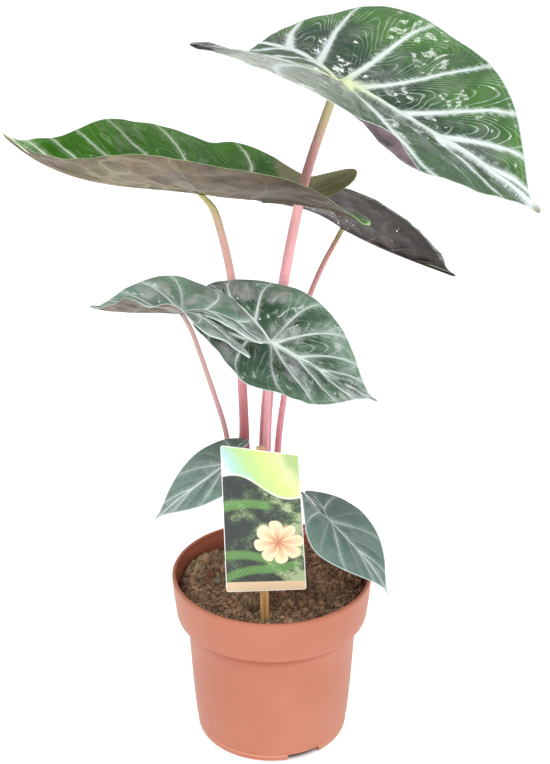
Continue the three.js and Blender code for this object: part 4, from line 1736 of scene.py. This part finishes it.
    def fibres(
        self, name: str, tone: SoilTone, count: int, lengths: Pair, thick: float, lift: float,
        at: Callable[[], Pair] | None = None,
    ) -> Piece:
        """Lays curved fibres on the bed.

        Args:
            name: The piece's name.
            tone: What they are made of.
            count: How many.
            lengths: Shortest and longest in millimetres.
            thick: Radius in millimetres.
            lift: How far their middles stand off the bed, as a share of the length.
            at: Picks their places, anywhere on the bed unless given.

        Returns:
            The piece.
        """
        form, grid = grid_sheet(3, 5)
        for vertex, (corner, ring) in grid.items():
            vertex.co = Vector((corner, ring, 0))
        whole = bmesh.new()
        scratch = bpy.data.meshes.new("scratch")
        for _ in range(count):
            x, y = (at or self.spot)()
            length = mix(*lengths, self.chance.random() ** 1.6)
            heading, bow = self.chance.uniform(0, 6.3), self.chance.uniform(-1.4, 1.4)
            up, tilt = self.chance.uniform(0.1, 1.0) * lift, self.chance.uniform(-0.35, 0.35)
            line = []
            for ring in range(6):
                s = ring / 5 - 0.5
                turn = heading + bow * s
                px, py = x + math.cos(turn) * s * length, y + math.sin(turn) * s * length
                reach = math.hypot(px, py)
                if reach > self.fibre_reach:
                    px, py = px * self.fibre_reach / reach, py * self.fibre_reach / reach
                rise = (1 - 4 * s * s) * up * length + tilt * s * length * 0.5
                line.append(Vector((px, py, self.height(px, py) + max(0.05, rise) + thick * 0.4)))

            def shape(point: Vector) -> Vector:
                """Wraps one point of the strip round the fibre.

                Args:
                    point: Its corner and ring.

                Returns:
                    Its place in millimetres.
                """
                ring = round(point.y)
                angle = 2 * math.pi * point.x / 3
                thin = thick * (1 - 0.75 * abs(ring / 2.5 - 1) ** 2)
                side = Vector((-math.sin(heading), math.cos(heading), 0.0)) * math.cos(angle)
                return line[ring] + (side + Vector((0, 0, math.sin(angle)))) * thin

            self.stamp(whole, scratch, form, shape)
        form.free()
        bpy.data.meshes.remove(scratch)
        bmesh.ops.remove_doubles(whole, verts=whole.verts[:], dist=1e-7)
        bmesh.ops.holes_fill(whole, edges=whole.edges[:], sides=4)
        bmesh.ops.recalc_face_normals(whole, faces=whole.faces[:])
        return Piece(name, whole, [SoilFinish(tone, 700.0).skin()], "soil").smooth()

    def near(self, x: float, y: float, spread: float, reach: float = 52.5) -> Callable[[], Pair]:
        """Gives a picker of chance places round one point, inside the wall.

        Args:
            x: Millimetres across to the point.
            y: Millimetres back to the point.
            spread: How far the places scatter.
            reach: Largest distance from the pot's axis.

        Returns:
            The picker.
        """

        def pick() -> Pair:
            """Picks one place.

            Returns:
                Millimetres across and back.
            """
            px, py = self.chance.gauss(x, spread), self.chance.gauss(y, spread)
            inward = min(1.0, reach / math.hypot(px, py))
            return px * inward, py * inward

        return pick

    def build(self) -> list[Piece]:
        """Makes the bed and all that lies on it.

        Returns:
            The pieces.
        """
        return [
            self.bed(),
            self.crumbs("soil_crumbs_dark", SoilTone.PEAT, 700, (0.6, 2.4)),
            self.crumbs("soil_crumbs_rust", SoilTone.RUST, 620, (0.5, 2.2)),
            self.crumbs("soil_lumps_brown", SoilTone.PEAT, 90, (2.0, 3.8), lambda: self.spot(49.0)),
            self.crumbs("soil_lumps_light", SoilTone.RUST, 60, (1.8, 3.4), lambda: self.spot(49.0)),
            self.crumbs("soil_lumps_grey", SoilTone.CLUMP, 30, (1.6, 3.2), self.near(-42, 24, 9, 48.5)),
            self.crumbs("soil_crumbs_grey", SoilTone.CLUMP, 200, (0.5, 2.2), self.near(*self.grey_spot)),
            self.fibres("soil_fibres_brown", SoilTone.COCO, 2600, (2, 7), 0.26, 0.3),
            self.fibres("soil_fibres_rust", SoilTone.RUST, 2600, (2, 8), 0.3, 0.26),
            self.fibres("soil_fibres_dark", SoilTone.PEAT, 1500, (3, 9), 0.28, 0.3),
            self.fibres(
                "soil_fibres_grey", SoilTone.CLUMP, 650, (2, 7), 0.28, 0.3, self.near(*self.grey_spot),
            ),
            self.fibres("soil_straws", SoilTone.STRAW, 260, (2, 7), 0.3, 0.3),
            self.crumbs("clay_pebble", SoilTone.CLAY, 1, (3.3, 3.3), lambda: (-37.0, 7.5)),
            self.crumbs("mineral_flake", SoilTone.FLAKE, 1, (2.8, 2.8), lambda: (-32.0, 2.5)),
        ]


@dataclass
class PlantCard:
    """The thin printed card, a little twisted, and the bamboo stick that holds it."""

    size: Pair = (45.6, 91.0)
    thick: float = 0.5
    centre: Triple = (-5.0, -36.9, 161.0)
    lean: float = 2.4
    yaw: float = 10.0
    twist: float = 4.0
    corner: float = 1.2
    steps: tuple[int, int] = (30, 60)

    def sheet(self) -> BMesh:
        """Makes the twisted front with its corners rounded.

        Returns:
            The mesh.
        """
        mesh, grid = grid_sheet(*self.steps, ("print",))
        half = Vector((self.size[0] / 2, self.size[1] / 2))
        lean, yaw = math.radians(-self.lean), math.radians(-self.yaw)
        turn = Euler((0.0, lean, 0.0)).to_matrix() @ Matrix.Rotation(yaw, 3, "Z")
        uv_map = mesh.loops.layers.uv["print"]
        marks: dict[BMVert, Vector] = {}
        for vertex, (column, row) in grid.items():
            flat = Vector(((column / self.steps[0] * 2 - 1) * half.x, (row / self.steps[1] * 2 - 1) * half.y))
            over = Vector(max(0.0, abs(a) - limit + self.corner) for a, limit in zip(flat, half))
            if over.x > 0 and over.y > 0 and over.length > 0:
                pull = 1 - max(over) / over.length
                flat -= Vector(math.copysign(part * pull, a) for part, a in zip(over, flat))
            bow = -self.twist * (flat.x / half.x) * (flat.y / half.y) - self.thick / 2
            vertex.co = (Vector(self.centre) + turn @ Vector((flat.x, bow, flat.y))) * MM
            marks[vertex] = flat
        for face in mesh.faces:
            for loop in face.loops:
                loop[uv_map].uv = marks[loop.vert]
        return mesh

    def build(self) -> Piece:
        """Thickens the card and dresses the stick.

        Returns:
            The piece.
        """
        mesh = self.sheet()
        away = Vector((0.0, self.thick * MM, 0.0))
        back = [*mesh.verts, *mesh.edges, *mesh.faces]
        grown = bmesh.ops.extrude_face_region(mesh, geom=back, use_keep_orig=True)["geom"]
        bmesh.ops.translate(mesh, vec=away, verts=[part for part in grown if isinstance(part, BMVert)])
        bmesh.ops.recalc_face_normals(mesh, faces=mesh.faces[:])
        mesh.normal_update()
        for face in mesh.faces:
            face.material_index = 0 if face.normal.y < -0.5 else 1
        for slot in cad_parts["card_stick"].material_slots:
            slot.material = Bamboo().skin()
        LOG.info("card_stick: dressed")
        materials = [CardPrint(half=(self.size[0] / 2, self.size[1] / 2)).skin(), CardBack().skin()]
        return Piece("printed_card", mesh, materials, "card").smooth(40).stands_for("plant_card")


@dataclass
class Studio:
    """White floor, soft lights and the camera at the photograph's view."""

    camera_place: Triple = (0.0, -0.8, 0.594)
    pitch: float = 24.4
    yaw: float = 0.137
    lens: float = 72.8
    horizon: float = 0.22
    zenith: float = 0.56

    def floor(self) -> None:
        """Lays the floor."""
        mesh = bmesh.new()
        bmesh.ops.create_grid(mesh, x_segments=4, y_segments=4, size=40.0)
        data = bpy.data.meshes.new("studio_floor")
        mesh.to_mesh(data)
        mesh.free()
        data.materials.append(FloorPaint().skin())
        thing = bpy.data.objects.new("studio_floor", data)
        bpy.context.collection.objects.link(thing)

    def lamp(self, name: str, place: Triple, target: Triple, size: Pair, power: float) -> None:
        """Hangs one soft box.

        Args:
            name: The lamp's name.
            place: Where it hangs.
            target: What it faces.
            size: Its width and height in metres.
            power: Its power in watts.
        """
        light = bpy.data.lights.new(name, "AREA")
        light.shape, light.size, light.size_y, light.energy = "RECTANGLE", *size, power
        thing = bpy.data.objects.new(name, light)
        thing.location = place
        thing.rotation_euler = (Vector(target) - Vector(place)).to_track_quat("-Z", "Y").to_euler()
        bpy.context.collection.objects.link(thing)

    def lights(self) -> None:
        """Sets the lamps and the bright room."""
        middle = (0.0, 0.0, 0.25)
        self.lamp("key", (-0.6, -0.7, 1.6), middle, (0.3, 0.3), 9.0)
        self.lamp("fill", (1.1, -1.0, 1.0), middle, (0.3, 0.4), 6.0)
        self.lamp("top", (0.15, 0.1, 1.7), middle, (0.2, 0.2), 2.2)
        self.lamp("rim", (0.6, 1.25, 1.2), (0.04, 0.0, 0.4), (0.25, 0.25), 1.6)
        self.lamp("front", (0.0, -2.2, 0.7), middle, (1.2, 0.9), 12.0)
        world = bpy.data.worlds.new("studio")
        world.use_nodes = True
        nodes, links = world.node_tree.nodes, world.node_tree.links
        sky = nodes.new("ShaderNodeTexCoord")
        split = nodes.new("ShaderNodeSeparateXYZ")
        fade = nodes.new("ShaderNodeMapRange")
        fade.inputs["From Min"].default_value, fade.inputs["From Max"].default_value = 0.0, 0.75
        fade.inputs["To Min"].default_value, fade.inputs["To Max"].default_value = self.horizon, self.zenith
        back = nodes["Background"]
        back.inputs["Color"].default_value = (1.0, 1.0, 1.0, 1.0)
        links.new(sky.outputs["Generated"], split.inputs["Vector"])
        links.new(split.outputs["Z"], fade.inputs["Value"])
        links.new(fade.outputs["Result"], back.inputs["Strength"])
        bpy.context.scene.world = world
        bpy.context.scene.view_settings.view_transform = "Standard"

    def camera(self) -> None:
        """Sets the camera."""
        lens = bpy.data.cameras.new("camera")
        lens.lens, lens.sensor_width = self.lens, 36.0
        lens.clip_start, lens.clip_end = 0.05, 50.0
        thing = bpy.data.objects.new("camera", lens)
        thing.location = self.camera_place
        thing.rotation_euler = (math.radians(90 - self.pitch), 0.0, math.radians(-self.yaw))
        bpy.context.collection.objects.link(thing)
        bpy.context.scene.camera = thing

    def build(self) -> None:
        """Sets up the studio."""
        self.floor()
        self.lights()
        self.camera()


LEAVES = (
    LeafForm(
        name="top_right", joint=(35, 0, 403), heading=-11, dip=30, roll=17, twist=41, length=126,
        width=(1.52, 1.52), lobe=0.74, fold=((28, -68, 16), (46, 52, -2)), cup=(44, -8),
        arch=(-0.14, 0.16, 1), lift=(-11.5, 18.5), ripple=((3.8, 20), (2, 60)), ripples=2.6,
        foot=(-5, 11), radius=(4.4, 2.4),
        via=((-4, 9, 185), (-2, 8, 221), (6.5, 5.5, 288), (18, 3, 349)), fineness=(14, 44), bulge=0.9,
        crest=4.2, swells=(Swell(1, 0.358, 0.05, -8.0), Swell(1, 0.378, 0.045, 12.0, 20.0)),
        blade=BladeFinish(
            deep="2A4433", fresh="64A038", vein="DEEAE6", heart="DCE9A8", warmth=0.8, midrib=4.8,
            lateral=2.5, skipped=(0.0, 0.85), frost=0.65, fine=0.48, rough=0.1, bumps=1.2,
            under="564049", under_patch="463840", under_dark="2C2528", under_vein="8A7A80", dusk=0.935,
            painted_sheen=1.0, tip=124.0, gap=2.0, flap=30.0, flap_soft=14.0, flap_low="26281F",
            flap_high="50523F",
        ),
        skin=StalkFinish(top="CCD08A", turn=0.86),
    ),
    LeafForm(
        name="upper_left", joint=(-37, -5, 345), heading=184, dip=-10, roll=13, twist=-8, length=108,
        width=(1.12, 1.52), lobe=1.34, fold=((34, -10, 10), (40, 24, -10)), cup=(34, 12),
        arch=(0.3, -0.44, -0.08), lift=(-11.5, 15), ripple=((3.2, -70), (7, 175)), ripples=1.6,
        foot=(-15, 13), radius=(3.6, 2.1),
        via=((-16, 8, 200), (-18, 5, 248), (-22, 1, 292), (-27, -3, 320), (-32, -5, 337)),
        fineness=(14, 44), bulge=0.9,
        swells=(
            Swell(1, 0.12, 0.05, 4.0), Swell(1, 0.415, 0.05, 3.2),
            Swell(1, 0.49, 0.03, -3.0), Swell(1, 0.57, 0.06, 5.0),
        ),
        trims=(Trim(1, 9, 1.03, 0.98), Trim(1, 10, 0.82, 0.74), Trim(1, 11, 0.7, 0.6)),
        blade=BladeFinish(
            deep="2C5C10", fresh="64A62A", vein="DCEBD0", heart="CEE09C", warmth=0.45, midrib=1.8,
            lateral=1.05, frost=0.35, fine=0.2, sunny=0.8, painted_highlight=0.0, rough=0.28, shine=0.12,
            under="6A5845", under_patch="5A5632", under_dark="3A2E24", under_vein="A2927C", edge=0.3,
            dusk=0.77, flap=42.0, flap_low="6A6642", flap_high="A8A474",
        ),
        skin=StalkFinish(low="A83E4C", middle="DC9096", high="D2A596", top="A9B25A", turn=0.88),
        sheath=Sheath(angle=190, height=3.2, top=0.42),
    ),
    LeafForm(
        name="back_right", joint=(43, 85, 295), heading=-53, dip=7, roll=0, twist=-25, length=98,
        width=(1.02, 1.02), lobe=0.9, fold=((22, 6, 12), (82, 48, 32)), cup=(-28, -14),
        arch=(-0.16, 0.06, 0.26), lift=(0, 0.5), ripple=((1, 0), (2.6, -10)), ripples=2.1, foot=(3, 16),
        radius=(2.6, 1.5),
        via=((3.5, 20, 177), (7.5, 31, 208), (14, 46, 239), (22.5, 57, 261), (30, 69, 275)),
        fineness=(12, 40), bulge=0.7,
        blade=BladeFinish(
            deep="262E26", fresh="384232", vein="8A9484", rough=0.2, under="322B28",
            under_patch="2A2523", under_dark="1E1919", under_vein="5A504A", specks=1.0,
        ),
        skin=StalkFinish(top="A8AE6C", turn=0.9),
    ),
    LeafForm(
        name="middle_left", joint=(-46, -58, 297), heading=166, dip=2, roll=4, twist=-4, length=51,
        width=(0.96, 1.06), lobe=1.2, fold=((42, 36, -18), (62, 38, -8)), cup=(12, 0),
        arch=(0.16, -0.16, 0.74), lift=(2.5, 6), ripple=((2.8, 110), (0.8, -55)), ripples=2.8,
        foot=(-20, 6), radius=(1.9, 1.3),
        via=((-26, 2, 195), (-32, -7, 225), (-35.5, -14, 241), (-38.5, -24, 257), (-42.5, -42, 280)),
        fineness=(10, 32), bulge=1.2,
        blade=BladeFinish(
            deep="688674", fresh="B2CEBC", midrib=1.0, lateral=0.75, frost=0.3, fine=0.25, painted_highlight=0.45,
            rough=0.15, bumps=1.3, quilt=2.1, under="4C4039", under_patch="42382F", under_dark="30281F",
        ),
        skin=StalkFinish(low="D09090", middle="C89A9A", high="B8988E", top="A8948A", turn=0.9),
    ),
    LeafForm(
        name="middle_right", joint=(-1, -30, 268), heading=-1, dip=31, roll=29, twist=19, length=68,
        width=(1.08, 1.04), lobe=1.06, fold=((56, 26, 4), (18, 2, 2)), cup=(-4, 6),
        arch=(0.02, -0.04, 0.04), lift=(1.5, -2), ripple=((0.8, 35), (3.4, -45)), ripples=2.1,
        foot=(-8, 2), radius=(2.4, 1.5), via=((-3, -5, 203), (-2, -12, 231), (-0.5, -22, 254)),
        fineness=(12, 40), bulge=1.5,
        blade=BladeFinish(
            deep="38553F", fresh="8EB29A", midrib=1.9, lateral=0.95, bare_tip=0.8, frost=0.3, fine=0.3,
            painted_highlight=0.45, rough=0.13, bumps=1.3, quilt=2.6,
        ),
        skin=StalkFinish(turn=0.95),
    ),
    LeafForm(
        name="low_left", joint=(-25, -17, 188), heading=195, dip=34, roll=-20, twist=-35, length=54,
        width=(0.62, 0.68), lobe=0.52, fold=((-2, -2, 8), (18, 10, -14)), cup=(-14, 8),
        arch=(-0.06, 0.08, 0.1), lift=(4, -2), ripple=((0.4, 180), (0.8, -40)), ripples=2.2,
        foot=(-15, -3), radius=(1.8, 1.2), via=((-19, -2, 128), (-22.5, -6, 163)), fineness=(8, 28),
        bulge=0.2,
        blade=BladeFinish(
            deep="5A7368", fresh="7E968A", vein="C4D2CC", midrib=0.9, lateral=0.55,
            skipped=(0.85, 0.85), bare_tip=0.9, frost=0.3, fine=0.06, painted_highlight=0.1, rough=0.42, bumps=0.6,
        ),
        skin=StalkFinish(turn=0.95),
    ),
    LeafForm(
        name="low_right", joint=(32, -25, 156), heading=-30, dip=38, roll=-21, twist=21, length=55,
        width=(1.06, 1.1), lobe=0.62, fold=((24, 12, 0), (10, -12, 30)), cup=(14, -42),
        arch=(-0.04, 0.12, 0.16), lift=(-1, 3), ripple=((0.4, -20), (1.2, -170)), ripples=2.1,
        foot=(1, 5), radius=(1.8, 1.2), via=((8, 3, 115), (20, -6, 138)), fineness=(8, 28), bulge=0.2,
        blade=BladeFinish(
            deep="5A7368", fresh="7E968A", vein="C4D2CC", midrib=0.9, lateral=0.6, skipped=(0.7, 0.7),
            bare_tip=0.9, frost=0.3, fine=0.08, painted_highlight=0.1, rough=0.42, bumps=0.6,
        ),
        skin=StalkFinish(turn=0.95),
    ),
)


def main() -> None:
    """Builds every sub-assembly in order and reports each piece."""
    logging.basicConfig(level=logging.INFO, format="%(name)s: %(message)s")
    Studio().build()
    pieces = [Pot().build(), *Soil().build()]
    for leaf in LEAVES:
        pieces += [Stalk(leaf).build(), Blade(leaf).build()]
    pieces.append(PlantCard().build())
    for piece in pieces:
        piece.report()
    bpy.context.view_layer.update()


if __name__ == "__main__":
    main()
